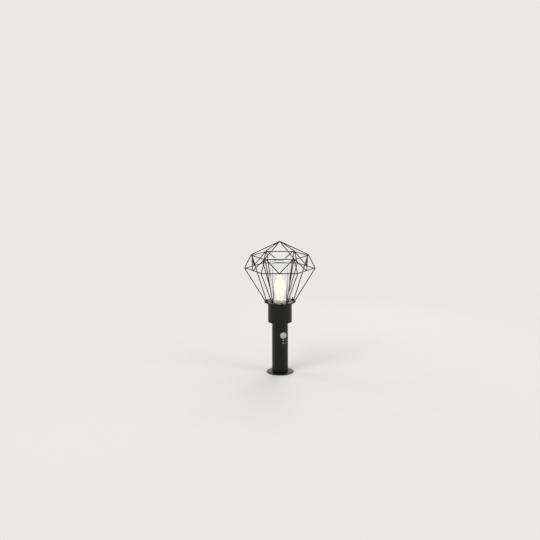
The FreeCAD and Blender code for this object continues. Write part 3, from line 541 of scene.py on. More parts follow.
upper_corner, upper_edge, upper_height = ring_wire("upper_ring")
girdle_corner, girdle_edge, girdle_height = ring_wire("girdle_ring")
apex = (0, span("rib_1")[1].z - APEX_DROP)
vee_end = span("vee_1")[1].x - VEE_END_SET
ring_rim, _, ring_top = span("cage_base_ring")[1]
rib_foot = (ring_rim - RIB_FOOT_SET, ring_top + FOOT_LIFT)
stay_foot = (ring_rim - STAY_FOOT_SET, ring_top + FOOT_LIFT)
print("rings at", round(upper_height, 1), "and", round(girdle_height, 1), "mm")

# %% [markdown]
# An icosphere stretched along the seam gives the lump, and a little noise makes no two alike. A boolean or
# a remesh could blend wire and bead, but at this size the black paint hides the line between them.

# %% Weld the cage
BEAD_FINENESS = 3
UNEVEN = 0.14
LUMP_MM = 1.6
# Where the other wire is, seen from the ring's wire: degrees upwards from straight out
RIB_AT_UPPER, STAY_AT_UPPER, VEE_AT_UPPER = 45, -107, -60
RIB_AT_GIRDLE, VEE_AT_GIRDLE = 0, 30
# How far the bead at a V wire's end leans outwards, in degrees
VEE_END_LEAN = 55
# Half sizes of a bead: out from the axis, along the seam and upwards
TIP_BEAD = (3.3, 3.3, 2.2)
SEAM_BEAD = (1.7, 2.9, 1.8)
STAY_BEAD = (2.0, 2.2, 1.5)
FOOT_BEAD = (2.4, 2.3, 1.2)


def spoke(reach, height, angle):
    """Give a point by its distance from the axis, its height and its direction in degrees."""
    turn = math.radians(angle)
    return Vector((reach * math.cos(turn), reach * math.sin(turn), height)) * MM


def bead(bm, place, angle, half, lean=0, aside=0):
    """Add a lump of weld at a reach and height, leaning outwards and moved along its edge."""
    centre = Matrix.Translation(spoke(*place, angle)) @ Matrix.Rotation(math.radians(angle), 4, "Z")
    centre = centre @ Matrix.Translation((0, aside * MM, 0)) @ Matrix.Rotation(math.radians(-lean), 4, "Y")
    shape = Matrix.Diagonal((half[0] * MM, half[1] * MM, half[2] * MM, 1))
    ball = bmesh.ops.create_icosphere(bm, subdivisions=BEAD_FINENESS, radius=1, matrix=centre @ shape)
    for vert in ball["verts"]:
        lump = noise.noise(vert.co / (LUMP_MM * MM)) * UNEVEN
        vert.co += (vert.co - centre.translation) * lump


welds = bmesh.new()
bead(welds, apex, 0, TIP_BEAD)
for k in range(SECTORS):
    corner = 360 / SECTORS * k
    edge = corner + 180 / SECTORS
    bead(welds, seam(upper_corner, upper_height, RIB_AT_UPPER), corner, SEAM_BEAD, lean=RIB_AT_UPPER)
    bead(welds, seam(upper_corner, upper_height, STAY_AT_UPPER), corner, STAY_BEAD)
    bead(welds, seam(girdle_corner, girdle_height, RIB_AT_GIRDLE), corner, SEAM_BEAD)
    bead(welds, seam(girdle_edge, girdle_height, VEE_AT_GIRDLE), edge, SEAM_BEAD, lean=VEE_AT_GIRDLE)
    vee_seam = seam(upper_edge, upper_height, VEE_AT_UPPER)
    for side in (-vee_end, vee_end):
        bead(welds, vee_seam, edge, SEAM_BEAD, lean=VEE_END_LEAN, aside=side)
    bead(welds, rib_foot, corner, FOOT_BEAD)
    bead(welds, stay_foot, corner, FOOT_BEAD)
finish_piece("weld_beads", welds, "black_paint", "shade")

# %% [markdown]
# ## Threads and screws
# Two studs hold the cage down, and their threads stand above the nuts. A thread is a saw profile that climbs
# one pitch in each turn. Spin can do that: the profile turns once while it rises by one pitch, so its end
# meets its own start one tooth higher, and merging the doubles closes a true helix. Two planes cut it to
# length.

# %% Thread the studs
STUD_RADIUS, STUD_ROOT_RADIUS, STUD_PITCH = 2.0, 1.65, 0.7
THREAD_STEPS = 32
SPARE_TEETH = 1.5
stud_low, stud_high = span("cage_studs")
stud_place = Vector((stud_high.x - STUD_RADIUS, stud_high.y - STUD_RADIUS, 0)) * MM


def cut_level(bm, level, keep_above):
    """Cut a mesh at a level, drop one side and close the cut."""
    bmesh.ops.bisect_plane(
        bm,
        geom=bm.verts[:] + bm.edges[:] + bm.faces[:],
        plane_co=(0, 0, level),
        plane_no=UP,
        clear_inner=keep_above,
        clear_outer=not keep_above,
    )
    rim = [e for e in bm.edges if e.is_boundary and all(abs(v.co.z - level) < JOIN for v in e.verts)]
    bmesh.ops.edgeloop_fill(bm, edges=rim)


def threaded_stud(centre):
    """Make one stud with a helical thread."""
    bm = bmesh.new()
    teeth = int((stud_high.z - stud_low.z) / STUD_PITCH + 2 * SPARE_TEETH)
    saw = []
    for half_tooth in range(2 * teeth + 1):
        radius = STUD_RADIUS if half_tooth % 2 else STUD_ROOT_RADIUS
        level = stud_low.z + STUD_PITCH * (half_tooth / 2 - SPARE_TEETH)
        saw.append(bm.verts.new((radius * MM, 0, level * MM)))
    edges = [bm.edges.new(pair) for pair in zip(saw, saw[1:])]
    bmesh.ops.spin(
        bm,
        geom=saw + edges,
        cent=(0, 0, 0),
        axis=UP,
        dvec=(0, 0, STUD_PITCH * MM / THREAD_STEPS),
        angle=math.tau,
        steps=THREAD_STEPS,
        use_merge=False,
    )
    bmesh.ops.remove_doubles(bm, verts=bm.verts, dist=JOIN)
    cut_level(bm, stud_low.z * MM, True)
    cut_level(bm, stud_high.z * MM, False)
    bmesh.ops.recalc_face_normals(bm, faces=bm.faces)
    bmesh.ops.translate(bm, verts=bm.verts, vec=centre)
    return bm


studs = bmesh.new()
for centre in (stud_place, -stud_place):
    join_in(studs, threaded_stud(centre))
finish_piece("threaded_studs", studs, "black_zinc", "lamp", ["cage_studs"])

# %% [markdown]
# Screws, glass and lampholder are turned shapes: a half section spun about an axis. A section is a few
# corners, and corners that are round on the real piece get a bevel of the section's own points before the
# spin. The bevel starts a set distance from the corner, which is its radius where the corner is square.

# %% Turn a half section
ROUND_STEPS = 10


def draw_section(corners, closed=True):
    """Start a mesh with a half section of (reach, height, distance where the corner's rounding starts)."""
    bm = bmesh.new()
    verts = [bm.verts.new((reach * MM, 0, height * MM)) for reach, height, _ in corners]
    nexts = verts[1:] + verts[:1] if closed else verts[1:]
    for pair in zip(verts, nexts):
        bm.edges.new(pair)
    for vert, (_, _, rounding) in zip(verts, corners):
        if rounding:
            bmesh.ops.bevel(
                bm,
                geom=[vert],
                offset=rounding * MM,
                offset_type="OFFSET",
                affect="VERTICES",
                segments=ROUND_STEPS,
                profile=0.5,
                material=-1,
            )
    return bm


def spin_section(bm, steps):
    """Spin a half section about the upright axis."""
    off_axis = [e for e in bm.edges if max(abs(v.co.x) for v in e.verts) > JOIN]
    bmesh.ops.spin(
        bm,
        geom=bm.verts[:] + off_axis,
        cent=(0, 0, 0),
        axis=UP,
        angle=math.tau,
        steps=steps,
        use_merge=True,
    )
    bmesh.ops.remove_doubles(bm, verts=bm.verts, dist=JOIN)
    loose = [e for e in bm.edges if not e.link_faces]
    bmesh.ops.delete(bm, geom=loose, context="EDGES")
    bmesh.ops.recalc_face_normals(bm, faces=bm.faces)
    return bm


print("a rounded corner takes", ROUND_STEPS, "steps")

# %% [markdown]
# The post carries three more small screws: two headless ones with a hexagon socket press it onto the foot's
# spigot, and a pan-head screw with a cross recess holds the sensor's carrier from behind. Each is made
# upright at the origin and then set on the post. The recess is an outline inside the round rim: the two
# loops are bridged, and the inner one is pushed down and closed.

# %% Sink a recess into a screw
RIM_STEPS = 24


def turned_about(points, count):
    """Repeat flat points, turned evenly about the origin."""
    turns = [Matrix.Rotation(math.tau * k / count, 2) for k in range(count)]
    return [turn @ Vector(point) for turn in turns for point in points]


def new_rim(grown):
    """Give an extrusion's new points, and the edges between them."""
    verts = [item for item in grown if isinstance(item, bmesh.types.BMVert)]
    edges = [item for item in grown if isinstance(item, bmesh.types.BMEdge)]
    return verts, [edge for edge in edges if all(vert in verts for vert in edge.verts)]


def recessed_screw(section, outline, depth):
    """Spin a screw's half section, from its foot's middle to its rim, and sink a recess into its top."""
    bm = spin_section(draw_section(section, closed=False), RIM_STEPS)
    rim = [e for e in bm.edges if e.is_boundary]
    top = section[-1][1]
    verts = [bm.verts.new((x * MM, y * MM, top * MM)) for x, y in outline]
    loop = [bm.edges.new(pair) for pair in zip(verts, verts[1:] + verts[:1])]
    bmesh.ops.bridge_loops(bm, edges=rim + loop)
    floor_verts, floor_edges = new_rim(bmesh.ops.extrude_edge_only(bm, edges=loop)["geom"])
    bmesh.ops.translate(bm, verts=floor_verts, vec=(0, 0, -depth * MM))
    bmesh.ops.edgeloop_fill(bm, edges=floor_edges)
    bmesh.ops.recalc_face_normals(bm, faces=bm.faces)
    return bm


def on_post(azimuth, reach, height):
    """Give the place of a piece on the post: its up points outwards, and azimuth 0 faces the front."""
    turn = math.radians(azimuth)
    outwards = Vector((math.sin(turn), -math.cos(turn), 0))
    across = Vector((math.cos(turn), math.sin(turn), 0))
    place = Matrix((across, UP, outwards)).transposed().to_4x4()
    place.translation = outwards * reach * MM + UP * height * MM
    return place


print("a screw's rim has", RIM_STEPS, "steps")

# %% [markdown]
# The headless screws stand a little proud of the post, left and right of the sensor's direction. A screw's
# section is measured from the post's outside: below zero is in the post.

# %% Set the headless screws
GRUB_RADIUS, GRUB_DEPTH, GRUB_PROUD, GRUB_CHAMFER = 2.0, 1.55, 0.6, 0.3
SOCKET_RADIUS, SOCKET_SIDES, SOCKET_DEPTH = 1.15, 6, 1.4
grub_section = [
    (0, -GRUB_DEPTH, 0),
    (GRUB_RADIUS, -GRUB_DEPTH, 0),
    (GRUB_RADIUS, GRUB_PROUD - GRUB_CHAMFER, 0),
    (GRUB_RADIUS - GRUB_CHAMFER, GRUB_PROUD, 0),
]
hexagon = turned_about([(SOCKET_RADIUS, 0)], SOCKET_SIDES)
grubs = bmesh.new()
for side in (90, -90):
    grub = recessed_screw(grub_section, hexagon, SOCKET_DEPTH)
    grub.transform(on_post(SENSOR_AZIMUTH + side, POST_RADIUS, middle_height("grub_screws")))
    join_in(grubs, grub)
finish_piece("socket_grub_screws", grubs, "black_zinc", "lamp", ["grub_screws"])

# %% [markdown]
# The pan-head screw is opposite the sensor. A quarter of its cross recess is three points, and four turns of
# them give the whole cross.

# %% Set the pan-head screw
SHANK_RADIUS, SHANK_LENGTH = 1.5, 6.0
PAN_RADIUS, PAN_RISE, PAN_ROUNDING, PAN_RIM_RADIUS = 2.8, 1.6, 1.1, 1.5
ARMS, ARM_REACH, ARM_HALF_WIDTH, CROSS_DEPTH = 4, 1.25, 0.3, 1.0
pan_section = [
    (0, -SHANK_LENGTH, 0),
    (SHANK_RADIUS, -SHANK_LENGTH, 0),
    (SHANK_RADIUS, 0, 0),
    (PAN_RADIUS, 0, 0),
    (PAN_RADIUS, PAN_RISE, PAN_ROUNDING),
    (PAN_RIM_RADIUS, PAN_RISE, 0),
]
arm = [(ARM_REACH, -ARM_HALF_WIDTH), (ARM_REACH, ARM_HALF_WIDTH), (ARM_HALF_WIDTH, ARM_HALF_WIDTH)]
pan = recessed_screw(pan_section, turned_about(arm, ARMS), CROSS_DEPTH)
pan.transform(on_post(SENSOR_AZIMUTH + 180, POST_RADIUS, middle_height("carrier_screw")))
finish_piece("pan_head_screw", pan, "black_zinc", "lamp", ["carrier_screw"])

# %% [markdown]
# ## The motion sensor
# The lens is a thin milky dome. It is not smooth: it is made of rows of small lenses, each of which throws
# the warmth of one direction onto the sensing element behind. A coarse UV sphere gives the rows. Each face
# is inset and lifted a little, and subdivision will turn every face into a small pillow with a groove round
# it. A value on each point says how much shade is painted on it, for the finish further down.

# %% Shape the lenslets
LENS_RADIUS = 10.0
LENS_COLUMNS, LENS_ROWS = 12, 10
# Subdivision draws a twelve-sided ring in by about this much, so the sphere starts larger
DRAWN_IN = 1.045
GROOVE_WIDTH, GROOVE_DEPTH = 0.4, 0.4
# How much shade is painted on the middle, for the dark sensor behind it, and how fast that falls off towards the
# rim
MIDDLE_PAINTED_SHADE, MIDDLE_FALLOFF = 0.5, 3
dome = bmesh.new()
bmesh.ops.create_uvsphere(
    dome, u_segments=LENS_COLUMNS, v_segments=LENS_ROWS, radius=LENS_RADIUS * DRAWN_IN * MM
)
below = [v for v in dome.verts if v.co.z < -JOIN]
bmesh.ops.delete(dome, geom=below, context="VERTS")
pole = max(dome.verts, key=lambda v: v.co.z)
bmesh.ops.dissolve_verts(dome, verts=[pole])
lenslets = dome.faces[:]
bmesh.ops.inset_individual(dome, faces=lenslets, thickness=GROOVE_WIDTH * MM, depth=GROOVE_DEPTH * MM)
painted_shade = dome.verts.layers.float.new("painted_shade")
on_lenslets = {vert for face in lenslets for vert in face.verts}
# Painted shade: full in the grooves, and in the middle for the dark sensor seen through the lens
for vert in dome.verts:
    facing = vert.co.z / (LENS_RADIUS * MM)
    vert[painted_shade] = MIDDLE_PAINTED_SHADE * facing**MIDDLE_FALLOFF if vert in on_lenslets else 1.0
print(len(lenslets), "lenslets")

# %% [markdown]
# The dome's rim grows into a skirt and a flange, as on the solid, and the flange sits behind the post's wall.
# Then the lens gets the thickness of its wall, and subdivision makes it round.

# %% Make the lens
LENS_RISE, LENS_WALL = 8.5, 1.0
SKIRT, FLANGE_WIDTH, FLANGE_THICK = 2.6, 2.0, 1.2
PILLOW_LEVELS = 3
rim = [e for e in dome.edges if e.is_boundary]
for out_mm, down_mm in ((0, SKIRT), (FLANGE_WIDTH, 0), (0, FLANGE_THICK)):
    rim_verts, rim = new_rim(bmesh.ops.extrude_edge_only(dome, edges=rim)["geom"])
    for vert in rim_verts:
        flat = Vector((vert.co.x, vert.co.y, 0))
        vert.co += flat.normalized() * out_mm * MM - UP * down_mm * MM
bmesh.ops.recalc_face_normals(dome, faces=dome.faces)
dome.transform(on_post(SENSOR_AZIMUTH, POST_RADIUS + LENS_RISE - LENS_RADIUS, middle_height("pir_lens")))
lens = finish_piece("faceted_lens", dome, "lens_plastic", "lamp", ["pir_lens"])
wall = lens.modifiers.new("wall", "SOLIDIFY")
wall.thickness = LENS_WALL * MM
pillows = lens.modifiers.new("pillows", "SUBSURF")
pillows.levels = PILLOW_LEVELS
pillows.render_levels = PILLOW_LEVELS

# %% [markdown]
# Shade is painted into the plastic's colour: darker in the grooves, where shade falls, and in the middle,
# where the dark sensor shows through from close behind. The value on the mesh's points says where, and
# subdivision smooths it, so one more mix after the grain brings it into the colour.

# %% Paint shade on the lens's grooves and middle
# The painted shade's colour, for the grooves and for the dark sensor behind the middle
PAINTED_SHADE_COLOUR = "#8b8f8e"
milky = FINISH["lens_plastic"]
milky_shader = milky.node_tree.nodes["Principled BSDF"]
bright = milky_shader.inputs["Base Color"].links[0].from_socket
painted_shade_amount = add(milky, "ShaderNodeAttribute", attribute_name="painted_shade").outputs["Fac"]
painted_shade_mix = add(milky, "ShaderNodeMix", {0: painted_shade_amount, 6: bright, 7: linear(PAINTED_SHADE_COLOUR)}, data_type="RGBA")
link(milky, painted_shade_mix.outputs[2], milky_shader, "Base Color")
print("lens dimmed towards", PAINTED_SHADE_COLOUR)

# %% [markdown]
# Below the lens are two slotted controls, and beside them two printed signs. One control sets how long the
# lamp stays on, the other how dark it must be, so the signs are a plain clock face and a plain sun. Pad
# printing leaves a film of pale ink on the round post. The signs are drawn flat, given the film's
# thickness, and then rolled onto the post by turning distance across into an angle round it.

# %% Draw and roll a sign
# How far the signs are turned from the controls, in degrees round the post
SIGN_TURN = 26.6
SIGN_AZIMUTH = SENSOR_AZIMUTH + SIGN_TURN
INK_MM = 0.06
LINE_MM = 0.5
RING_STEPS, STROKE_STEPS = 32, 4


def flat_ring(bm, outer):
    """Add a flat ring of ink, one line wide."""
    wide_ring = bmesh.ops.create_circle(bm, segments=RING_STEPS, radius=outer * MM)["verts"]
    slim_ring = bmesh.ops.create_circle(bm, segments=RING_STEPS, radius=(outer - LINE_MM) * MM)["verts"]
    edges = {e for v in wide_ring + slim_ring for e in v.link_edges}
    bmesh.ops.bridge_loops(bm, edges=list(edges))


def flat_bar(bm, start, end, angle):
    """Add a flat stroke of ink that points away from the sign's middle."""
    place = Matrix.Rotation(math.radians(angle), 4, "Z") @ Matrix.Translation(((start + end) / 2 * MM, 0, 0))
    shape = Matrix.Diagonal(((end - start) * MM, LINE_MM * MM, 1, 1))
    bmesh.ops.create_grid(bm, x_segments=STROKE_STEPS, y_segments=1, size=0.5, matrix=place @ shape)


def roll_onto_post(bm, height):
    """Give a flat sign its thickness and wrap it round the post."""
    film = bmesh.ops.extrude_face_region(bm, geom=bm.faces[:])["geom"]
    top = [item for item in film if isinstance(item, bmesh.types.BMVert)]
    bmesh.ops.translate(bm, verts=top, vec=(0, 0, INK_MM * MM))
    bmesh.ops.recalc_face_normals(bm, faces=bm.faces)
    for vert in bm.verts:
        angle = math.radians(SIGN_AZIMUTH) + vert.co.x / (POST_RADIUS * MM)
        reach = POST_RADIUS * MM + vert.co.z
        vert.co = Vector((reach * math.sin(angle), -reach * math.cos(angle), vert.co.y + height * MM))


print("signs at", round(SIGN_AZIMUTH, 2), "degrees")

# %% [markdown]
# Each sign stands at its control's height: the clock beside the upper one, the sun beside the lower one.
# The ink is as pale a grey as the controls, so it takes their finish.

# %% Print the signs
SIGN_RADIUS = 2.5
LONG_HAND, SHORT_HAND = 1.6, 1.2
# The hands' directions, in degrees from straight right
TWELVE, THREE = 90, 0
SUN_RADIUS, RAY_START, RAYS = 1.3, 1.7, 8
clock = bmesh.new()
flat_ring(clock, SIGN_RADIUS)
flat_bar(clock, -LINE_MM / 2, LONG_HAND, TWELVE)
flat_bar(clock, -LINE_MM / 2, SHORT_HAND, THREE)
roll_onto_post(clock, middle_height("time_trimmer"))
sun = bmesh.new()
flat_ring(sun, SUN_RADIUS)
for k in range(RAYS):
    flat_bar(sun, RAY_START, SIGN_RADIUS, 360 / RAYS * k)
roll_onto_post(sun, middle_height("lux_trimmer"))
join_in(clock, sun)
finish_piece("printed_signs", clock, "grey_plastic", "lamp")

# %% [markdown]
# ## Glass and lampholder
# The cover is a glass cylinder, closed and rounded at its top, with a flange at its foot that the cage holds
# down. Light has to pass it, but the renderer's shadow rays stop at glass and bent light comes out as noise.
# So shadow and diffuse rays are let past the glass pieces, and only what the eye sees is bent.

# %% Make the glass cover
COVER_RADIUS, COVER_WALL, COVER_BEND = 30.0, 2.5, 6.0
COVER_FLANGE_THICK, COVER_EDGE = 2.4, 0.6
COVER_STEPS = 128
cover_low, cover_high = span("glass_cover")
cover_bore = COVER_RADIUS - COVER_WALL
flange_top = cover_low.z + COVER_FLANGE_THICK
cover_section = [
    (cover_bore, cover_low.z, COVER_EDGE),
    (cover_high.x, cover_low.z, COVER_EDGE),
    (cover_high.x, flange_top, COVER_EDGE),
    (COVER_RADIUS, flange_top, COVER_EDGE),
    (COVER_RADIUS, cover_high.z, COVER_BEND),
    (0, cover_high.z, 0),
    (0, cover_high.z - COVER_WALL, 0),
    (cover_bore, cover_high.z - COVER_WALL, COVER_BEND - COVER_WALL),
]


def clear_to_light(piece):
    """Let light pass a glass piece unbent."""
    piece.visible_shadow = False
    piece.visible_diffuse = False
    return piece


cover = spin_section(draw_section(cover_section), COVER_STEPS)
clear_to_light(finish_piece("glass_cylinder", cover, "clear_glass", "shade", ["glass_cover"]))

# %% [markdown]
# The lampholder is porcelain, and only its rim stands in the glass. It is one turned shape, with a cone
# below and a deep bore for the bulb's cap. Two of the section's points on the side lie at the foot and the
# top of the windows that come next.

# %% Turn the lampholder
HOLDER_BORE, HOLDER_NECK, NIPPLE_BORE = 14.6, 12.0, 5.05
CONE_HEIGHT, FLOOR_HEIGHT, NIPPLE_DEPTH = 18.0, 19.0, 8.1
NECK_ROUNDING, CONE_ROUNDING, RIM_ROUNDING, BORE_ROUNDING = 1.0, 6.0, 1.4, 0.8
WINDOW_DROP, WINDOW_HEIGHT = 3.7, 4.4
HOLDER_STEPS = 120
holder_low, holder_high = span("holder_body")
holder_floor = holder_low.z + FLOOR_HEIGHT
window_top = holder_high.z - WINDOW_DROP
window_foot = window_top - WINDOW_HEIGHT
holder_section = [
    (NIPPLE_BORE, holder_low.z, 0),
    (HOLDER_NECK, holder_low.z, NECK_ROUNDING),
    (holder_high.x, holder_low.z + CONE_HEIGHT, CONE_ROUNDING),
    (holder_high.x, window_foot, 0),
    (holder_high.x, window_top, 0),
    (holder_high.x, holder_high.z, RIM_ROUNDING),
    (HOLDER_BORE, holder_high.z, BORE_ROUNDING),
    (HOLDER_BORE, holder_floor, 0),
    (0, holder_floor, 0),
    (0, holder_low.z + NIPPLE_DEPTH, 0),
    (NIPPLE_BORE, holder_low.z + NIPPLE_DEPTH, 0),
]
holder = spin_section(draw_section(holder_section), HOLDER_STEPS)
print("lampholder", round(holder_high.z - holder_low.z, 1), "mm tall")

# %% [markdown]
# The photograph shows a dark mark on each side of the bulb's foot, which is read here as a blind window in
# the holder's side. Six of them go round it: a few faces of the side are inset together and pushed in.

# %% Sink the windows
WINDOWS, WINDOW_HALF_ANGLE = 6, 6.0
WINDOW_EDGE, WINDOW_DEPTH = 0.4, 2.6


def in_window(face):
    """Tell whether a face of the holder's side lies in a window."""
    middle = face.calc_center_median() / MM
    outside = middle.xy.length > (HOLDER_BORE + holder_high.x) / 2
    pitch = 360 / WINDOWS
    angle = math.degrees(math.atan2(middle.y, middle.x)) % pitch
    turned_to = abs(angle - pitch / 2) < WINDOW_HALF_ANGLE
    return outside and turned_to and window_foot < middle.z < window_top


windows = [face for face in holder.faces if in_window(face)]
bmesh.ops.inset_region(
    holder, faces=windows, thickness=WINDOW_EDGE * MM, depth=-WINDOW_DEPTH * MM, use_even_offset=True
)
finish_piece("porcelain_holder", holder, "porcelain", "lamp", ["holder_body"])

# %% [markdown]
# ## The bulb
# Inside the bulb a glass stem rises from the neck: a wide foot that is melted to the neck, a flare, and a
# slim rod that ends above the filaments. It is a turned shape too. Where two slopes meet, the section's
# bevel is long, so that the outline flows without a corner.

# %% Draw the stem
STEM_FOOT_RADIUS, STEM_FOOT_HEIGHT, STEM_FOOT_EDGE = 9.4, 1.0, 0.4
STEM_RADIUS, STEM_FLARE, STEM_FLOW, STEM_RISE, STEM_END = 2.0, 10.0, 4.0, 3.0, 1.2
STEM_STEPS = 32
filament_low, filament_high = span("bulb_filaments")
envelope_low, envelope_high = span("bulb_envelope")
neck_foot, bulb_top = envelope_low.z, envelope_high.z
stem_top = filament_high.z + STEM_RISE
stem_section = [
    (0, neck_foot, 0),
    (STEM_FOOT_RADIUS, neck_foot, 0),
    (STEM_FOOT_RADIUS, neck_foot + STEM_FOOT_HEIGHT, STEM_FOOT_EDGE),
    (STEM_RADIUS, neck_foot + STEM_FLARE, STEM_FLOW),
    (STEM_RADIUS, stem_top, STEM_END),
    (0, stem_top, 0),
]
stem = spin_section(draw_section(stem_section), STEM_STEPS)
clear_to_light(finish_piece("bulb_glass_stem", stem, "clear_glass", "bulb", ["bulb_stem"]))

# %% [markdown]
# The bulb is a candle: a slim neck, a belly low down and a drawn-out tip, blown thin. Its section runs up the
# outside and down the inside. The belly's corner lies outside the glass, where the slopes from neck and tip
# would meet, and its long bevel gives the round belly.

# %% Blow the candle glass
NECK_RADIUS, NECK_HEIGHT, NECK_FLOW = 10.5, 12.0, 3.7
BELLY_RADIUS, BELLY_HEIGHT, BELLY_FLOW = 20.1, 44.0, 15.0
TIP_RADIUS, TIP_FLOW, TIP_INNER_FLOW = 4.0, 3.2, 2.8
BULB_WALL = 1.0
CANDLE_STEPS = 96
candle_section = [
    (NECK_RADIUS - BULB_WALL, neck_foot, 0),
    (NECK_RADIUS, neck_foot, 0),
    (NECK_RADIUS, neck_foot + NECK_HEIGHT, NECK_FLOW),
    (BELLY_RADIUS, neck_foot + BELLY_HEIGHT, BELLY_FLOW),
    (TIP_RADIUS, bulb_top, TIP_FLOW),
    (0, bulb_top, 0),
    (0, bulb_top - BULB_WALL, 0),
    (TIP_RADIUS - BULB_WALL / 2, bulb_top - BULB_WALL, TIP_INNER_FLOW),
    (BELLY_RADIUS - BULB_WALL, neck_foot + BELLY_HEIGHT, BELLY_FLOW),
    (NECK_RADIUS - BULB_WALL, neck_foot + NECK_HEIGHT, NECK_FLOW),
]
candle = spin_section(draw_section(candle_section), CANDLE_STEPS)
envelope = clear_to_light(finish_piece("candle_envelope", candle, "bulb_glass", "bulb", ["bulb_envelope"]))
# Reflections see the filaments straight: bent twice by satin glass, they would only come out as noise
envelope.visible_glossy = False

# %% [markdown]
# The stem carries two crowns of wire, and between the crowns hang four filaments: thin strips under a skin
# of yellow phosphor, with a metal pin at each end. Through the satin glass they only show as a soft
# brightness, but with the right parts inside, the brightness is in the right place.

# %% Hang the filaments
FILAMENTS = 4
FILAMENT_REACH, FILAMENT_RADIUS = 5.5, 1.0
PIN_LENGTH, PIN_RADIUS = 2.0, 0.3
# The crowns' wires start inside the stem's glass
CROWN_START = 1.6
ROD_SIDES = 16
# The share of a rod's radius that its end's rounding takes, and the rounding's steps
ROD_END, ROD_END_STEPS = 0.6, 2


def rod(bm, start, end, radius):
    """Add a round rod between two points, with its ends rounded."""
    run = end - start
    place = Matrix.Translation((start + end) / 2) @ run.to_track_quat("Z", "Y").to_matrix().to_4x4()
    made = bmesh.ops.create_cone(
        bm,
        cap_ends=True,
        segments=ROD_SIDES,
        radius1=radius * MM,
        radius2=radius * MM,
        depth=run.length,
        matrix=place,
    )["verts"]
    faces = {f for v in made for f in v.link_faces if len(f.verts) == ROD_SIDES}
    edges = {e for f in faces for e in f.edges}
    bmesh.ops.bevel(
        bm,
        geom=list(edges),
        offset=radius * ROD_END * MM,
        affect="EDGES",
        segments=ROD_END_STEPS,
        profile=0.5,
        material=-1,
    )


strips = bmesh.new()
wires = bmesh.new()
for k in range(FILAMENTS):
    angle = 360 / FILAMENTS * (k + 0.5)
    low = spoke(FILAMENT_REACH, filament_low.z + PIN_LENGTH, angle)
    high = spoke(FILAMENT_REACH, filament_high.z - PIN_LENGTH, angle)
    rod(strips, low, high, FILAMENT_RADIUS)
    for level, pin in ((filament_low.z, low), (filament_high.z, high)):
        knee = spoke(FILAMENT_REACH, level, angle)
        rod(wires, spoke(CROWN_START, level, angle), knee, PIN_RADIUS)
        rod(wires, knee, pin, PIN_RADIUS)
finish_piece("phosphor_filaments", strips, "filament", "bulb", ["bulb_filaments"])
finish_piece("filament_crowns", wires, "cap_nickel", "bulb")

# %% [markdown]
# ## Floor, light and camera
# The stage is a pale floor of matt paper that fades into an equally pale surround, so that no horizon shows.
# The floor lies a hair below the foot, because two faces at one level would flicker.

# %% Floor
FLOOR_REACH, FLOOR_DROP_MM = 12.0, 0.1
FLOOR_SIDES = 128
FADE_FROM, FADE_TO = 0.4, 1.3
SURROUND = "#eae8e5"
floor_mesh = bmesh.new()
bmesh.ops.create_circle(floor_mesh, cap_ends=True, segments=FLOOR_SIDES, radius=FLOOR_REACH)
bmesh.ops.translate(floor_mesh, verts=floor_mesh.verts, vec=(0, 0, -FLOOR_DROP_MM * MM))
floor_data = bpy.data.meshes.new("floor")
floor_mesh.to_mesh(floor_data)
floor_mesh.free()
floor = bpy.data.objects.new("floor", floor_data)
bpy.context.scene.collection.objects.link(floor)
paper = surface(
    "pale_matt_paper",
    ("#e8e6e3", "#eceae7"),
    grain_mm=40.0,
    roughness=(0.75, 0.85),
    relief_mm=0.05,
    relief_grain_mm=2.0,
    IOR=1.4,
)
floor_data.materials.append(paper)
spot = add(paper, "ShaderNodeTexCoord").outputs["Object"]
reach = add(paper, "ShaderNodeVectorMath", {0: spot}, operation="LENGTH").outputs["Value"]
fading = {"Value": reach, "From Min": FADE_FROM, "From Max": FADE_TO}
fade = add(paper, "ShaderNodeMapRange", fading, interpolation_type="SMOOTHSTEP").outputs["Result"]
glare = add(paper, "ShaderNodeEmission", {"Color": linear(SURROUND), "Strength": 1.0}).outputs["Emission"]
matt = paper.node_tree.nodes["Principled BSDF"].outputs["BSDF"]
faded = add(paper, "ShaderNodeMixShader", {0: fade, 1: matt, 2: glare}).outputs["Shader"]
link(paper, faded, paper.node_tree.nodes["Material Output"], "Surface")
print("floor", 2 * FLOOR_REACH, "m wide, fading from", FADE_FROM, "to", FADE_TO, "m")

# %% [markdown]
# The world lights everything evenly at a plain level. What camera, reflections and glass see of it is set by
# ray type, so that the background is pale without throwing more light on the object.

# %% Surround
AMBIENT, AMBIENT_COLOUR = 0.45, "#fffdfa"
world = bpy.data.worlds.new("pale_surround")
bpy.context.scene.world = world
world.use_nodes = True
sky = world.node_tree.nodes["Background"]
sky.inputs["Color"].default_value = linear(AMBIENT_COLOUR)
sky.inputs["Strength"].default_value = AMBIENT
seen = add(world, "ShaderNodeBackground", {"Color": linear(SURROUND), "Strength": 1.0}).outputs["Background"]
ray = add(world, "ShaderNodeLightPath").outputs
straight = {0: ray["Is Camera Ray"], 1: ray["Is Transmission Ray"]}
through = add(world, "ShaderNodeMath", straight, operation="MAXIMUM").outputs["Value"]
mirrored = {0: through, 1: ray["Is Glossy Ray"]}
shown = add(world, "ShaderNodeMath", mirrored, operation="MAXIMUM").outputs["Value"]
both = add(world, "ShaderNodeMixShader", {0: shown, 1: sky.outputs["Background"], 2: seen}).outputs["Shader"]
link(world, both, world.node_tree.nodes["World Output"], "Surface")
print("ambient strength", AMBIENT)

# %% [markdown]
# Three wide lamps give soft shadows: a key at the front left, a weaker fill at the right and one behind. A
# black post needs something to mirror, or it looks flat, so two dim upright strips stand behind it at the
# sides, where their light draws a line along its edges and adds little to the floor.

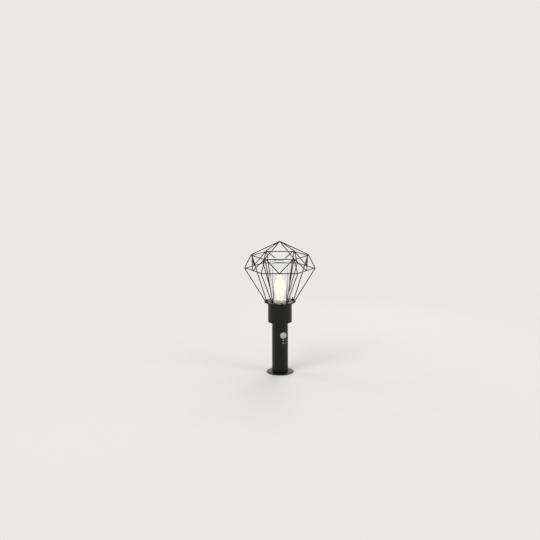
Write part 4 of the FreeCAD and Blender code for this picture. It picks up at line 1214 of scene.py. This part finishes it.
# %% Lamps
AIM = Vector((0, 0, 0.22))
LAMPS = {
    # Place in metres, width and height, watts and colour
    "key_softbox": ((-1.3, -1.7, 1.9), (1.7, 1.7), 30, "#fffaf4"),
    "fill_softbox": ((1.9, -1.0, 1.0), (1.3, 1.3), 12, "#f3f6ff"),
    "back_softbox": ((0.5, 2.0, 1.6), (1.7, 1.7), 20, "#ffffff"),
    "left_rim_strip": ((-1.6, 0.9, 0.7), (0.8, 1.4), 5, "#ffffff"),
    "right_rim_strip": ((1.6, 1.1, 0.7), (0.8, 1.4), 4, "#ffffff"),
}


def hang_lamp(name, place, size, watts, colour):
    """Hang a wide lamp that faces the light."""
    lamp = bpy.data.lights.new(name, "AREA")
    lamp.shape = "ELLIPSE"
    lamp.size, lamp.size_y = size
    lamp.energy = watts
    lamp.color = linear(colour)[:3]
    hung = bpy.data.objects.new(name, lamp)
    hung.location = place
    hung.rotation_euler = (AIM - Vector(place)).to_track_quat("-Z", "Y").to_euler()
    hung.visible_camera = False
    bpy.context.scene.collection.objects.link(hung)


for name, (place, size, watts, colour) in LAMPS.items():
    hang_lamp(name, place, size, watts, colour)
print(len(LAMPS), "lamps")

# %% [markdown]
# The camera's place was worked out from points of the light that are known in both the solid and the
# photograph. It looks slightly down from about three metres, which keeps the uprights almost parallel, and
# it leans to one side by a quarter of a degree.

# %% Camera
EYE = Vector((0.0461, -3.0574, 0.9044))
LOOK_AT = Vector((-0.0311, -0.0008, 0.333))
ROLL = math.radians(-0.25)
SENSOR_WIDTH_MM, FOCAL_LENGTH_MM = 36.0, 65.69
lens_data = bpy.data.cameras.new("photo_camera")
lens_data.sensor_width = SENSOR_WIDTH_MM
lens_data.lens = FOCAL_LENGTH_MM
camera = bpy.data.objects.new("photo_camera", lens_data)
camera.location = EYE
facing = (LOOK_AT - EYE).to_track_quat("-Z", "Y").to_matrix()
camera.rotation_euler = (facing @ Matrix.Rotation(ROLL, 3, "Z")).to_euler()
bpy.context.scene.collection.objects.link(camera)
bpy.context.scene.camera = camera
bpy.context.scene.view_settings.view_transform = "Standard"
print("camera", round((LOOK_AT - EYE).length, 2), "m away")
